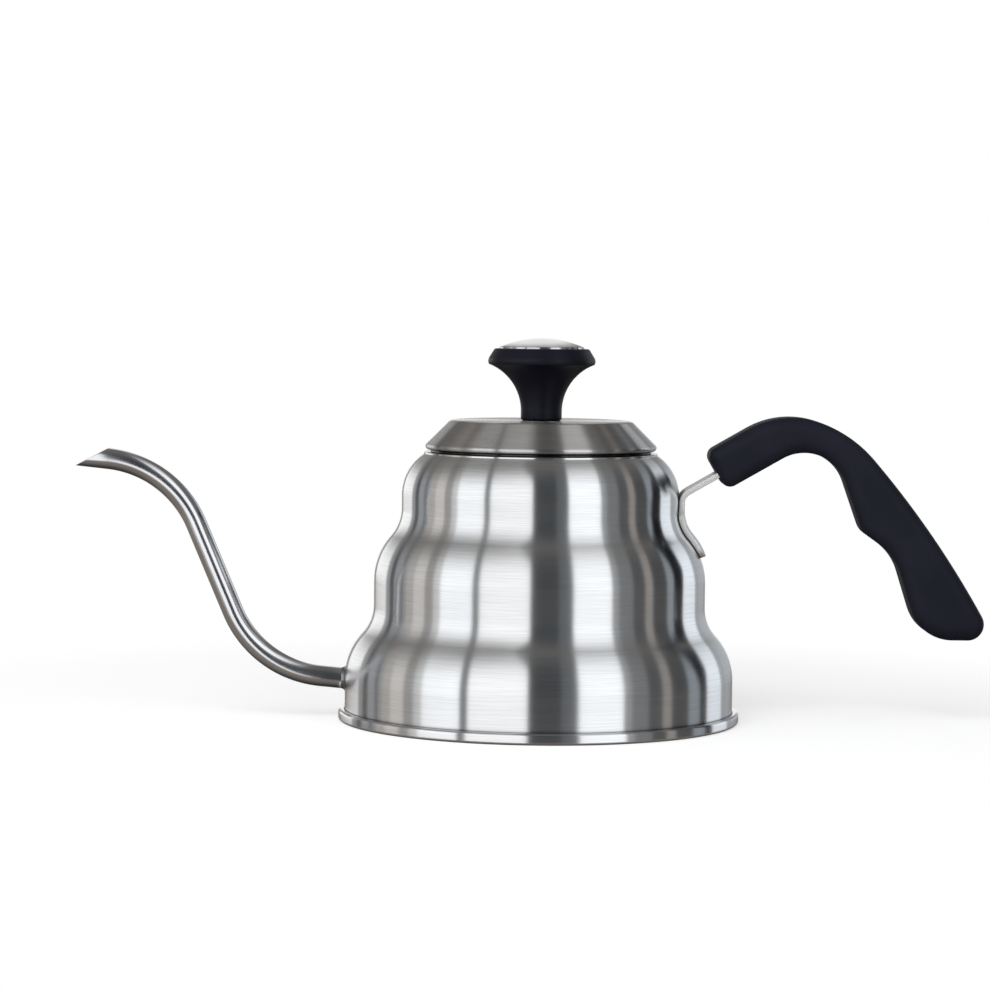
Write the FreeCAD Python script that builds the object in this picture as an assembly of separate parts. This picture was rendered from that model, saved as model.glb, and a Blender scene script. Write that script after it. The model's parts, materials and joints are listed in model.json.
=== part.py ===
import FreeCAD, Part
import math
import os

# Gooseneck kettle: stepped sheet body, thin bent spout, fixed handle, lift-off lid.
# Millimetres, +Z up, origin at the centre of the resting face.
# The spout points to -X and the handle to +X.

Vector = FreeCAD.Vector
ORIGIN = Vector(0, 0, 0)
UP = Vector(0, 0, 1)
ACROSS = Vector(0, 1, 0)

# Body
BASE_RING_RADIUS = 72.0
BASE_RING_HEIGHT = 4.0
BODY_SHEET = 0.7
SEAM_PROJECTION = 2.3
LOWER_STEP = 10.2
UPPER_STEP = 9.7
SHOULDER_RUN = 7.8
LEDGE_WIDTH = 4.2
LOWER_WALL_TOP = 15.0
LOWER_WAVE_HEIGHT = 26.0
MIDDLE_WALL_HEIGHT = 9.0
UPPER_WAVE_HEIGHT = 26.0
UPPER_WALL_HEIGHT = 4.7
SHOULDER_HEIGHT = 14.9
NECK_STEP = 0.6
NECK_DEPTH = 6.0
NECK_BEND = 1.0
SWELL_SHARE = 0.62

# Base plate
BASE_SHEET = 0.8
CURL_RADIUS = 1.1
SEAM_CLEARANCE = 0.1
PANEL_INSET = 18.0
PANEL_RECESS = 0.8
PANEL_SLOPE_RUN = 2.0

# Spout
TUBE_RADIUS = 3.8
TUBE_WALL = 0.6
SPOUT_ROOT_HEIGHT = 14.2
SPOUT_ROOT_RISE = 5.0
SPOUT_ROOT_LENGTH = 8.8
SPOUT_LOWER_BEND = 38.0
SPOUT_RISER_RISE = 67.0
SPOUT_RISER_LENGTH = 33.8
SPOUT_UPPER_BEND = 38.7
SPOUT_TIP_RISE = 6.0
SPOUT_TIP_LENGTH = 11.7
SPOUT_TIP_BEVEL = 11.2
SPOUT_INSIDE_LENGTH = 2.0
TUBE_CLEARANCE = 0.05
WELD_LEG = 1.3

# Handle bracket
BRACKET_SHEET = 2.0
BRACKET_GAP = 0.05
PAD_WIDTH = 20.0
PAD_HEIGHT = 20.0
PAD_CORNER = 4.0
TANG_WIDTH = 14.0
TANG_RISE = 30.0
TANG_REACH = 14.3
TANG_INSERTION = 22.0
TANG_BEND = 4.5
BEND_ABOVE_WALL = 1.0

# Handle grip, drawn in the frame of the bracket's tang
GRIP_WIDTH = 20.0
GRIP_ABOVE_TANG = 9.2
GRIP_FRONT_CORNER = 3.6
GRIP_EDGE = 3.2
GRIP_FRONT_RUN = 17.9
CROWN_RADIUS = 30.5
CROWN_TURN = 49.0
BACK_RADIUS = 46.0
BACK_TURN = 30.0
PALM_RADIUS = 340.0
PALM_TURN = 11.5
HEEL_RADIUS = 5.8
HEEL_RUN = 5.6
TOE_RADIUS = 15.5
TOE_TURN = 72.5
LOWER_FINGER_RUN = 14.0
LOWER_FINGER_RADIUS = 19.3
LOWER_FINGER_TURN = 37.0
RIDGE_RUN = 6.0
RIDGE_RADIUS = 7.0
RIDGE_TURN = 35.0
UPPER_FINGER_RUN = 16.3
UPPER_FINGER_RADIUS = 15.5
SLOT_CLEARANCE = 0.15

# Lid
LID_SHEET = 0.7
SKIRT_SHEET = 0.9
SKIRT_CLEARANCE = 0.4
SKIRT_DEPTH = 9.0
SKIRT_FLANGE = 2.2
RIM_INSET = 0.5
RIM_BEAD_RADIUS = 1.2
LIP_WIDTH = 1.6
LID_RISE = 11.5
LID_FLANK_LEAN = 45.0
LID_CORNER = 2.4
VENT_RADIUS = 1.5
VENT_OFFSET = 20.0

# Knob
KNOB_STEM_RADIUS = 7.35
KNOB_STEM_HEIGHT = 3.3
KNOB_FLARE_RUN = 11.65
KNOB_FLARE_HEIGHT = 16.8
KNOB_EDGE_HEIGHT = 2.2
KNOB_EDGE_BULGE = 0.3
KNOB_BEVEL_RUN = 2.1
KNOB_BEVEL_HEIGHT = 3.4
CAP_LAND = 1.5
CAP_RECESS = 0.8
CAP_CLEARANCE = 0.2
CAP_EDGE = 0.6
CAP_DOME = 3.2
CAP_SHEET = 0.6

# M4 fasteners and threaded inserts
SCREW_RADIUS = 2.0
SCREW_HOLE_RADIUS = 2.25
SCREW_HEAD_RADIUS = 3.8
SCREW_HEAD_HEIGHT = 2.4
DRIVE_WIDTH = 1.1
DRIVE_LENGTH = 4.4
DRIVE_DEPTH = 1.3
SCREW_END_GAP = 1.0
FLAT_WASHER_RADIUS = 4.5
FLAT_WASHER_THICKNESS = 0.8
LOCK_WASHER_RADIUS = 3.6
LOCK_WASHER_THICKNESS = 0.9
LOCK_WASHER_SPLIT = 0.8
LOCK_WASHER_SLANT = 30.0
FASTENER_CLEARANCE = 0.05
INSERT_RADIUS = 3.2
KNOB_INSERT_LENGTH = 11.0
HANDLE_INSERT_LENGTH = 5.5
HANDLE_SCREW_STATION = 12.0
COUNTERBORE_RADIUS = 4.8
COUNTERBORE_FLOOR = 1.6

# Radii and heights that follow from the sizes above
lower_radius = BASE_RING_RADIUS - SEAM_PROJECTION
middle_radius = lower_radius - LOWER_STEP
upper_radius = middle_radius - UPPER_STEP
ledge_radius = upper_radius - SHOULDER_RUN
mouth_radius = ledge_radius - LEDGE_WIDTH
middle_wall_base = LOWER_WALL_TOP + LOWER_WAVE_HEIGHT
middle_wall_top = middle_wall_base + MIDDLE_WALL_HEIGHT
upper_wall_base = middle_wall_top + UPPER_WAVE_HEIGHT
upper_wall_top = upper_wall_base + UPPER_WALL_HEIGHT
shoulder_top = upper_wall_top + SHOULDER_HEIGHT
ledge_height = shoulder_top + NECK_STEP
shoulder_radius = (SHOULDER_RUN ** 2 + SHOULDER_HEIGHT ** 2) / (2 * SHOULDER_RUN)
lid_top = ledge_height + LID_RISE


def rz(radius, height):
    """A point of a side view, used for the XZ plane."""
    return Vector(radius, 0, height)


def polar(centre, radius, degrees):
    """The point at an angle around a centre in the XZ plane, counted from +X to +Z."""
    angle = math.radians(degrees)
    return centre + rz(radius * math.cos(angle), radius * math.sin(angle))


def line(start, end):
    return Part.LineSegment(start, end).toShape()


def lines(*points):
    return [line(a, b) for a, b in zip(points, points[1:])]


def arc(centre, radius, start_degrees, end_degrees):
    middle = (start_degrees + end_degrees) / 2
    ends = [polar(centre, radius, a) for a in (start_degrees, middle, end_degrees)]
    return Part.Arc(*ends).toShape()


def first_point(edges):
    return edges[0].valueAt(edges[0].FirstParameter)


def last_point(edges):
    return edges[-1].valueAt(edges[-1].LastParameter)


def flat_face(edges):
    return Part.Face(Part.Wire(Part.__sortEdges__(edges)))


def closed_face(edges):
    """A face bounded by a chain of edges and the straight line that closes it."""
    return flat_face(edges + [line(last_point(edges), first_point(edges))])


def spin(face, degrees=360):
    return face.revolve(ORIGIN, UP, degrees)


def thicken(face, width):
    """A side-view face extruded evenly to both sides of the XZ plane."""
    solid = face.extrude(ACROSS * width)
    solid.translate(ACROSS * (-width / 2))
    return solid


def ring(outer_radius, inner_radius, base, height):
    outside = Part.makeCylinder(outer_radius, height, rz(0, base))
    inside = Part.makeCylinder(inner_radius, height, rz(0, base))
    return outside.cut(inside)


def lean(shape, point, rise):
    """Turn a shape's own X axis up by an angle and carry its origin to a point."""
    placed = shape.copy()
    placed.rotate(ORIGIN, ACROSS, -rise)
    placed.translate(point)
    return placed


# Body

def wave(outer, inner, base, height, inset):
    """Two tangent arcs that lead a wall inwards: a swell, then a hollow."""
    turn = 2 * math.degrees(math.atan((outer - inner) / height))
    total = height / math.sin(math.radians(turn))
    swell = total * SWELL_SHARE
    hollow = total - swell
    swell_centre = rz(outer - swell, base)
    hollow_centre = rz(inner + hollow, base + height)
    return [
        arc(swell_centre, swell - inset, 0, turn),
        arc(hollow_centre, hollow + inset, 180 + turn, 180),
    ]


def shoulder(inset, end_height):
    centre = rz(upper_radius - shoulder_radius, upper_wall_top)
    radius = shoulder_radius - inset
    end = math.degrees(math.asin((end_height - upper_wall_top) / radius))
    return arc(centre, radius, 0, end)


def wall_profile(inset, base, end_height):
    """The body's side view from a base height up to the shoulder's end, set in by a distance."""
    lower = lower_radius - inset
    middle = middle_radius - inset
    upper = upper_radius - inset
    edges = [line(rz(lower, base), rz(lower, LOWER_WALL_TOP))]
    edges += wave(lower_radius, middle_radius, LOWER_WALL_TOP, LOWER_WAVE_HEIGHT, inset)
    edges += [line(rz(middle, middle_wall_base), rz(middle, middle_wall_top))]
    edges += wave(middle_radius, upper_radius, middle_wall_top, UPPER_WAVE_HEIGHT, inset)
    edges += [line(rz(upper, upper_wall_base), rz(upper, upper_wall_top))]
    edges += [shoulder(inset, end_height)]
    return edges


def neck_edges(inner_shoulder_end):
    """The ledge under the lid and the turned-down neck around the mouth."""
    underside = ledge_height - BODY_SHEET
    outer_neck = mouth_radius + BODY_SHEET
    bend_centre = rz(mouth_radius + NECK_BEND, ledge_height - NECK_BEND)
    neck_base = ledge_height - NECK_DEPTH
    top = lines(
        rz(ledge_radius, shoulder_top),
        rz(ledge_radius, ledge_height),
        rz(mouth_radius + NECK_BEND, ledge_height),
    )
    bend = [arc(bend_centre, NECK_BEND, 90, 180)]
    hanging = lines(
        rz(mouth_radius, ledge_height - NECK_BEND),
        rz(mouth_radius, neck_base),
        rz(outer_neck, neck_base),
        rz(outer_neck, underside),
        inner_shoulder_end,
    )
    return top + bend + hanging


def hook_edges():
    """The body's lower edge, turned out and up inside the base plate's curl."""
    bend = CURL_RADIUS - BASE_SHEET
    hook_outer = BASE_RING_RADIUS - BASE_SHEET - SEAM_CLEARANCE
    hook_inner = hook_outer - BODY_SHEET
    flange_top = BASE_SHEET + BODY_SHEET
    hook_top = BASE_RING_HEIGHT - CURL_RADIUS
    bend_centre = rz(hook_outer - bend, CURL_RADIUS)
    edges = lines(rz(lower_radius - BODY_SHEET, BASE_SHEET), rz(hook_outer - bend, BASE_SHEET))
    edges += [arc(bend_centre, bend, -90, 0)]
    edges += lines(
        rz(hook_outer, CURL_RADIUS),
        rz(hook_outer, hook_top),
        rz(hook_inner, hook_top),
        rz(hook_inner, flange_top),
        rz(lower_radius, flange_top),
    )
    return edges


def body_envelope():
    """The body's outside as a filled solid, used to trim the weld."""
    wall = wall_profile(0, BASE_SHEET, shoulder_top)
    closing = lines(last_point(wall), rz(0, shoulder_top), rz(0, BASE_SHEET), first_point(wall))
    return spin(flat_face(wall + closing))


def body_shell():
    outside = wall_profile(0, BASE_SHEET + BODY_SHEET, shoulder_top)
    inside = wall_profile(BODY_SHEET, BASE_SHEET, ledge_height - BODY_SHEET)
    neck = neck_edges(last_point(inside))
    shell = spin(flat_face(outside + neck + inside + hook_edges()))
    heading = spout_heading(SPOUT_ROOT_RISE)
    hole = Part.makeCylinder(TUBE_RADIUS + TUBE_CLEARANCE, lower_radius, ORIGIN, heading)
    hole.translate(spout_root() - heading * (lower_radius / 2))
    return shell.cut(hole)


def base_plate():
    panel_edge = lower_radius - PANEL_INSET
    slope_end = panel_edge + PANEL_SLOPE_RUN
    curl_radius = BASE_RING_RADIUS - CURL_RADIUS
    inner_curl = CURL_RADIUS - BASE_SHEET
    low = rz(curl_radius, CURL_RADIUS)
    high = rz(curl_radius, BASE_RING_HEIGHT - CURL_RADIUS)
    lip = lower_radius + SEAM_CLEARANCE
    edges = lines(rz(0, PANEL_RECESS), rz(panel_edge, PANEL_RECESS), rz(slope_end, 0))
    edges += lines(rz(slope_end, 0), rz(curl_radius, 0))
    edges += [arc(low, CURL_RADIUS, -90, 0)]
    edges += lines(polar(low, CURL_RADIUS, 0), polar(high, CURL_RADIUS, 0))
    edges += [arc(high, CURL_RADIUS, 0, 90)]
    edges += lines(
        rz(curl_radius, BASE_RING_HEIGHT),
        rz(lip, BASE_RING_HEIGHT),
        rz(lip, BASE_RING_HEIGHT - BASE_SHEET),
        rz(curl_radius, BASE_RING_HEIGHT - BASE_SHEET),
    )
    edges += [arc(high, inner_curl, 90, 0)]
    edges += lines(polar(high, inner_curl, 0), polar(low, inner_curl, 0))
    edges += [arc(low, inner_curl, 0, -90)]
    edges += lines(
        rz(curl_radius, BASE_SHEET),
        rz(slope_end, BASE_SHEET),
        rz(panel_edge, PANEL_RECESS + BASE_SHEET),
        rz(0, PANEL_RECESS + BASE_SHEET),
        rz(0, PANEL_RECESS),
    )
    return spin(flat_face(edges))


# Spout

def spout_heading(rise):
    """The direction towards -X that climbs by an angle."""
    angle = math.radians(rise)
    return rz(-math.cos(angle), math.sin(angle))


def spout_root():
    return rz(-lower_radius, SPOUT_ROOT_HEIGHT)


def spout_bend(start, start_rise, end_rise, radius):
    """An arc of the spout's centre line that turns from one rise to another."""
    side = 1 if end_rise > start_rise else -1
    centre = start + spout_heading(start_rise + 90 * side) * radius
    middle = (start_rise + end_rise) / 2
    half_way = centre - spout_heading(middle + 90 * side) * radius
    end = centre - spout_heading(end_rise + 90 * side) * radius
    return Part.Arc(start, half_way, end).toShape(), end


def spout_path():
    root_heading = spout_heading(SPOUT_ROOT_RISE)
    start = spout_root() - root_heading * (BODY_SHEET + SPOUT_INSIDE_LENGTH)
    bend_start = spout_root() + root_heading * SPOUT_ROOT_LENGTH
    lower_bend, riser_base = spout_bend(bend_start, SPOUT_ROOT_RISE, SPOUT_RISER_RISE, SPOUT_LOWER_BEND)
    riser_top = riser_base + spout_heading(SPOUT_RISER_RISE) * SPOUT_RISER_LENGTH
    upper_bend, tip_base = spout_bend(riser_top, SPOUT_RISER_RISE, SPOUT_TIP_RISE, SPOUT_UPPER_BEND)
    tip_end = tip_base + spout_heading(SPOUT_TIP_RISE) * SPOUT_TIP_LENGTH
    edges = [
        line(start, bend_start),
        lower_bend,
        line(riser_base, riser_top),
        upper_bend,
        line(tip_base, tip_end),
    ]
    return Part.Wire(edges), start, tip_end


def bevel_cutter(tip_end):
    """The wedge that slices the tip so that its opening looks up and forward."""
    reach = 2 * TUBE_RADIUS
    slope = SPOUT_TIP_BEVEL / (2 * TUBE_RADIUS)
    face = flat_face(lines(
        rz(0, -TUBE_RADIUS),
        rz(-slope * (TUBE_RADIUS + reach), reach),
        rz(reach, reach),
        rz(reach, -TUBE_RADIUS),
        rz(0, -TUBE_RADIUS),
    ))
    wedge = thicken(face, 4 * TUBE_RADIUS)
    wedge.rotate(ORIGIN, UP, 180)
    wedge.rotate(ORIGIN, ACROSS, SPOUT_TIP_RISE)
    wedge.translate(tip_end)
    return wedge


def spout_tube():
    path, start, tip_end = spout_path()
    heading = spout_heading(SPOUT_ROOT_RISE)
    solids = []
    for radius in (TUBE_RADIUS, TUBE_RADIUS - TUBE_WALL):
        circle = Part.Wire(Part.Circle(start, heading, radius).toShape())
        solids.append(path.makePipeShell([circle], True, False))
    return solids[0].cut(solids[1]).cut(bevel_cutter(tip_end))


def spout_weld():
    """A hollow fillet of weld metal around the tube, trimmed by the body's outside."""
    inner = TUBE_RADIUS
    outer = TUBE_RADIUS + WELD_LEG
    edges = lines(rz(inner, WELD_LEG), rz(inner, -WELD_LEG), rz(outer, -WELD_LEG), rz(outer, 0))
    edges += [arc(rz(outer, WELD_LEG), WELD_LEG, 270, 180)]
    bead = spin(flat_face(edges))
    bead.rotate(ORIGIN, ACROSS, SPOUT_ROOT_RISE - 90)
    bead.translate(spout_root())
    return bead.cut(body_envelope())


# Handle

def bend_corner():
    """Where the middle of the bracket's pad and the middle of its tang would cross."""
    return rz(upper_radius + BRACKET_GAP + BRACKET_SHEET / 2, upper_wall_top + BEND_ABOVE_WALL)


def tang_entry():
    """Where the middle of the tang enters the grip's front face."""
    return polar(bend_corner(), TANG_REACH, TANG_RISE)


def pad_solid(top):
    """The part of the bracket that follows the body's stepped wall."""
    near = wall_profile(-BRACKET_GAP, BASE_RING_HEIGHT, shoulder_top)
    far = wall_profile(-BRACKET_GAP - BRACKET_SHEET, BASE_RING_HEIGHT, shoulder_top)
    ends = [line(last_point(near), last_point(far)), line(first_point(near), first_point(far))]
    sweep = 90
    band = spin(flat_face(near + far + ends), sweep)
    band.rotate(ORIGIN, UP, -sweep / 2)
    foot = top - PAD_HEIGHT
    block = Part.makeBox(lower_radius, PAD_WIDTH, PAD_HEIGHT, Vector(0, -PAD_WIDTH / 2, foot))
    low_edges = [e for e in block.Edges if abs(e.BoundBox.ZMax - foot) < PAD_CORNER / 2]
    long_edges = [e for e in low_edges if e.BoundBox.XLength > PAD_WIDTH]
    return band.common(block.makeFillet(PAD_CORNER, long_edges))


def tang_solid(bend_start):
    """The flat strip that leaves the pad through a bend and reaches into the grip."""
    corner = bend_corner()
    half = BRACKET_SHEET / 2
    run = TANG_BEND * math.tan(math.radians((90 - TANG_RISE) / 2))
    centre = corner + rz(TANG_BEND, -run)
    end = polar(corner, TANG_REACH + TANG_INSERTION, TANG_RISE)
    foot = bend_start - BRACKET_SHEET
    normal = 90 + TANG_RISE
    edges = lines(rz(corner.x + half, bend_start), rz(corner.x + half, foot))
    edges += lines(rz(corner.x + half, foot), rz(corner.x - half, foot), rz(corner.x - half, bend_start))
    edges += [arc(centre, TANG_BEND + half, 180, normal)]
    edges += lines(
        polar(centre, TANG_BEND + half, normal),
        polar(end, half, normal),
        polar(end, -half, normal),
        polar(centre, TANG_BEND - half, normal),
    )
    edges += [arc(centre, TANG_BEND - half, normal, 180)]
    return thicken(flat_face(edges), TANG_WIDTH)


def handle_bracket():
    run = TANG_BEND * math.tan(math.radians((90 - TANG_RISE) / 2))
    top = bend_corner().z - run
    bracket = pad_solid(top).fuse(tang_solid(top)).removeSplitter()
    hole_base = rz(HANDLE_SCREW_STATION, -BRACKET_SHEET)
    hole = Part.makeCylinder(SCREW_HOLE_RADIUS, 2 * BRACKET_SHEET, hole_base)
    return bracket.cut(lean(hole, tang_entry(), TANG_RISE))


def stroke(edges, heading, length=0, radius=0, turn=0):
    """Add a straight run, or an arc when a radius is given, to a chain of edges."""
    start = last_point(edges) if edges else rz(0, GRIP_ABOVE_TANG)
    if radius == 0:
        edges.append(line(start, polar(start, length, heading)))
        return heading
    side = math.copysign(90, turn)
    centre = polar(start, radius, heading + side)
    edges.append(arc(centre, radius, heading - side, heading - side + turn))
    return heading + turn


def grip_outline():
    """The grip's side view, drawn clockwise from its upper front corner."""
    level = -180 - TANG_RISE
    heel_turn = level + CROWN_TURN + BACK_TURN + PALM_TURN
    finger_turn = -level - 180 + TOE_TURN - LOWER_FINGER_TURN + RIDGE_TURN
    edges = []
    heading = stroke(edges, 0, GRIP_FRONT_RUN)
    heading = stroke(edges, heading, radius=CROWN_RADIUS, turn=-CROWN_TURN)
    heading = stroke(edges, heading, radius=BACK_RADIUS, turn=-BACK_TURN)
    heading = stroke(edges, heading, radius=PALM_RADIUS, turn=-PALM_TURN)
    heading = stroke(edges, heading, radius=HEEL_RADIUS, turn=heel_turn)
    heading = stroke(edges, heading, HEEL_RUN)
    heading = stroke(edges, heading, radius=TOE_RADIUS, turn=-TOE_TURN)
    heading = stroke(edges, heading, LOWER_FINGER_RUN)
    heading = stroke(edges, heading, radius=LOWER_FINGER_RADIUS, turn=LOWER_FINGER_TURN)
    heading = stroke(edges, heading, RIDGE_RUN)
    heading = stroke(edges, heading, radius=RIDGE_RADIUS, turn=-RIDGE_TURN)
    heading = stroke(edges, heading, UPPER_FINGER_RUN)
    heading = stroke(edges, heading, radius=UPPER_FINGER_RADIUS, turn=finger_turn)
    underside = last_point(edges)
    edges.append(line(underside, rz(0, underside.z)))
    return edges, underside.z


def rounded_grip():
    edges, underside = grip_outline()
    block = thicken(closed_face(edges), GRIP_WIDTH)
    front = [e for e in block.Edges if e.BoundBox.XMax < 0.01 and e.BoundBox.YLength > GRIP_WIDTH / 2]
    block = block.makeFillet(GRIP_FRONT_CORNER, front)
    rims = [e for e in block.Edges if e.BoundBox.YLength < 0.01]
    return block.makeFillet(GRIP_EDGE, rims), underside


def handle_grip():
    block, underside = rounded_grip()
    thickness = BRACKET_SHEET + 2 * SLOT_CLEARANCE
    width = TANG_WIDTH + 2 * SLOT_CLEARANCE
    slot = Part.makeBox(TANG_INSERTION + 2 * SLOT_CLEARANCE, width, thickness,
                        Vector(-SLOT_CLEARANCE, -width / 2, -thickness / 2))
    seat = -thickness / 2 - COUNTERBORE_FLOOR
    depth = seat - underside + BRACKET_SHEET
    axis = rz(HANDLE_SCREW_STATION, 0)
    counterbore = Part.makeCylinder(COUNTERBORE_RADIUS, depth, axis + rz(0, seat - depth))
    screw_hole = Part.makeCylinder(SCREW_HOLE_RADIUS, -seat, axis + rz(0, seat))
    pocket_radius = INSERT_RADIUS + FASTENER_CLEARANCE
    pocket_depth = HANDLE_INSERT_LENGTH + SLOT_CLEARANCE
    pocket = Part.makeCylinder(pocket_radius, pocket_depth, axis + rz(0, thickness / 2))
    for cut in (slot, counterbore, screw_hole, pocket):
        block = block.cut(cut)
    return lean(block, tang_entry(), TANG_RISE)


# Fasteners

def pan_screw(length):
    """A cross-drive pan screw standing on its head's seat at the origin, head below."""
    head = Part.makeCylinder(SCREW_HEAD_RADIUS, SCREW_HEAD_HEIGHT, rz(0, -SCREW_HEAD_HEIGHT))
    lower = [e for e in head.Edges if e.BoundBox.ZMax < -SCREW_HEAD_HEIGHT / 2]
    head = head.makeFillet(SCREW_HEAD_HEIGHT / 2, lower)
    half_head = SCREW_HEAD_HEIGHT / 2
    shank = Part.makeCylinder(SCREW_RADIUS, length + half_head, rz(0, -half_head))
    screw = head.fuse(shank).removeSplitter()
    for turn in (0, 90):
        blade = Part.makeBox(DRIVE_LENGTH, DRIVE_WIDTH, DRIVE_DEPTH,
                             Vector(-DRIVE_LENGTH / 2, -DRIVE_WIDTH / 2, -SCREW_HEAD_HEIGHT))
        blade.rotate(ORIGIN, UP, turn)
        screw = screw.cut(blade)
    return screw


def threaded_insert(length):
    return ring(INSERT_RADIUS, SCREW_RADIUS + FASTENER_CLEARANCE, 0, length)


def flat_washer():
    return ring(FLAT_WASHER_RADIUS, SCREW_HOLE_RADIUS, -FLAT_WASHER_THICKNESS, FLAT_WASHER_THICKNESS)


def lock_washer():
    """A spring ring with a slanted split."""
    washer = ring(LOCK_WASHER_RADIUS, SCREW_HOLE_RADIUS, -LOCK_WASHER_THICKNESS, LOCK_WASHER_THICKNESS)
    tall = 4 * LOCK_WASHER_THICKNESS
    split = Part.makeBox(2 * LOCK_WASHER_RADIUS, LOCK_WASHER_SPLIT, tall,
                         Vector(0, -LOCK_WASHER_SPLIT / 2, -tall / 2))
    split.rotate(ORIGIN, Vector(1, 0, 0), LOCK_WASHER_SLANT)
    split.translate(rz(0, -LOCK_WASHER_THICKNESS / 2))
    return washer.cut(split)


def handle_fasteners():
    """Insert above the tang, screw and washer below it, set square to the tang."""
    slot_half = BRACKET_SHEET / 2 + SLOT_CLEARANCE
    seat = -slot_half - COUNTERBORE_FLOOR
    grip_length = -seat + slot_half + HANDLE_INSERT_LENGTH - SCREW_END_GAP
    insert = threaded_insert(HANDLE_INSERT_LENGTH)
    insert.translate(rz(HANDLE_SCREW_STATION, slot_half))
    washer = lock_washer()
    washer.translate(rz(HANDLE_SCREW_STATION, seat))
    screw = pan_screw(grip_length)
    screw.translate(rz(HANDLE_SCREW_STATION, seat - LOCK_WASHER_THICKNESS))
    pieces = {"handle_insert": insert, "handle_washer": washer, "handle_screw": screw}
    return {name: lean(piece, tang_entry(), TANG_RISE) for name, piece in pieces.items()}


# Lid

def lid_shell():
    bead = rz(ledge_radius - RIM_INSET - RIM_BEAD_RADIUS, ledge_height + SKIRT_SHEET + RIM_BEAD_RADIUS)
    corner_centre_height = lid_top - LID_CORNER
    inner_corner = LID_CORNER - LID_SHEET
    inner_bead = RIM_BEAD_RADIUS - LID_SHEET
    flank = 90 - LID_FLANK_LEAN
    rise = corner_centre_height - bead.z
    slack = RIM_BEAD_RADIUS - LID_CORNER
    inward = (rise * math.sin(math.radians(flank)) - slack) / math.cos(math.radians(flank))
    corner = rz(bead.x - inward, corner_centre_height)
    underside = lid_top - LID_SHEET
    lip = bead.x - LIP_WIDTH
    lip_base = bead.z - RIM_BEAD_RADIUS
    edges = lines(rz(SCREW_HOLE_RADIUS, lid_top), rz(corner.x, lid_top))
    edges += [arc(corner, LID_CORNER, 90, flank)]
    edges += lines(polar(corner, LID_CORNER, flank), polar(bead, RIM_BEAD_RADIUS, flank))
    edges += [arc(bead, RIM_BEAD_RADIUS, flank, -90)]
    edges += lines(
        rz(bead.x, lip_base),
        rz(lip, lip_base),
        rz(lip, lip_base + LID_SHEET),
        rz(bead.x, lip_base + LID_SHEET),
    )
    edges += [arc(bead, inner_bead, -90, flank)]
    edges += lines(polar(bead, inner_bead, flank), polar(corner, inner_corner, flank))
    edges += [arc(corner, inner_corner, flank, 90)]
    edges += lines(rz(corner.x, underside), rz(SCREW_HOLE_RADIUS, underside))
    shell = spin(closed_face(edges))
    for side in (-1, 1):
        vent_base = Vector(0, side * VENT_OFFSET, underside - LID_SHEET)
        vent = Part.makeCylinder(VENT_RADIUS, 3 * LID_SHEET, vent_base)
        shell = shell.cut(vent)
    return shell


def lid_skirt():
    """Ring that hangs in the mouth; its flange lies on the ledge and carries the lid."""
    outer = mouth_radius - SKIRT_CLEARANCE
    flange_top = ledge_height + SKIRT_SHEET
    foot = ledge_height - SKIRT_DEPTH
    edges = lines(
        rz(outer + SKIRT_FLANGE, flange_top),
        rz(outer + SKIRT_FLANGE, ledge_height),
        rz(outer, ledge_height),
        rz(outer, foot),
        rz(outer - SKIRT_SHEET, foot),
        rz(outer - SKIRT_SHEET, flange_top),
    )
    return spin(closed_face(edges))


# Knob

def knob_heights():
    flare = lid_top + KNOB_STEM_HEIGHT
    edge = flare + KNOB_FLARE_HEIGHT
    bevel = edge + KNOB_EDGE_HEIGHT
    return flare, edge, bevel, bevel + KNOB_BEVEL_HEIGHT


def knob_radii():
    edge = KNOB_STEM_RADIUS + KNOB_FLARE_RUN
    top = edge - KNOB_BEVEL_RUN
    return edge, top, top - CAP_LAND


def knob():
    flare, edge, bevel, top = knob_heights()
    edge_radius, top_radius, recess_radius = knob_radii()
    flare_radius = (KNOB_FLARE_RUN ** 2 + KNOB_FLARE_HEIGHT ** 2) / (2 * KNOB_FLARE_RUN)
    flare_turn = math.degrees(math.asin(KNOB_FLARE_HEIGHT / flare_radius))
    pocket = INSERT_RADIUS + FASTENER_CLEARANCE
    pocket_top = lid_top + KNOB_INSERT_LENGTH + FASTENER_CLEARANCE
    flare_centre = rz(KNOB_STEM_RADIUS + flare_radius, flare)
    middle = rz(edge_radius + KNOB_EDGE_BULGE, (edge + bevel) / 2)
    edges = lines(rz(pocket, lid_top), rz(KNOB_STEM_RADIUS, lid_top), rz(KNOB_STEM_RADIUS, flare))
    edges += [arc(flare_centre, flare_radius, 180, 180 - flare_turn)]
    edges += [Part.Arc(rz(edge_radius, edge), middle, rz(edge_radius, bevel)).toShape()]
    edges += lines(
        rz(edge_radius, bevel),
        rz(top_radius, top),
        rz(recess_radius, top),
        rz(recess_radius, top - CAP_RECESS),
        rz(0, top - CAP_RECESS),
        rz(0, pocket_top),
        rz(pocket, pocket_top),
        rz(pocket, lid_top),
    )
    return spin(flat_face(edges))


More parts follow.
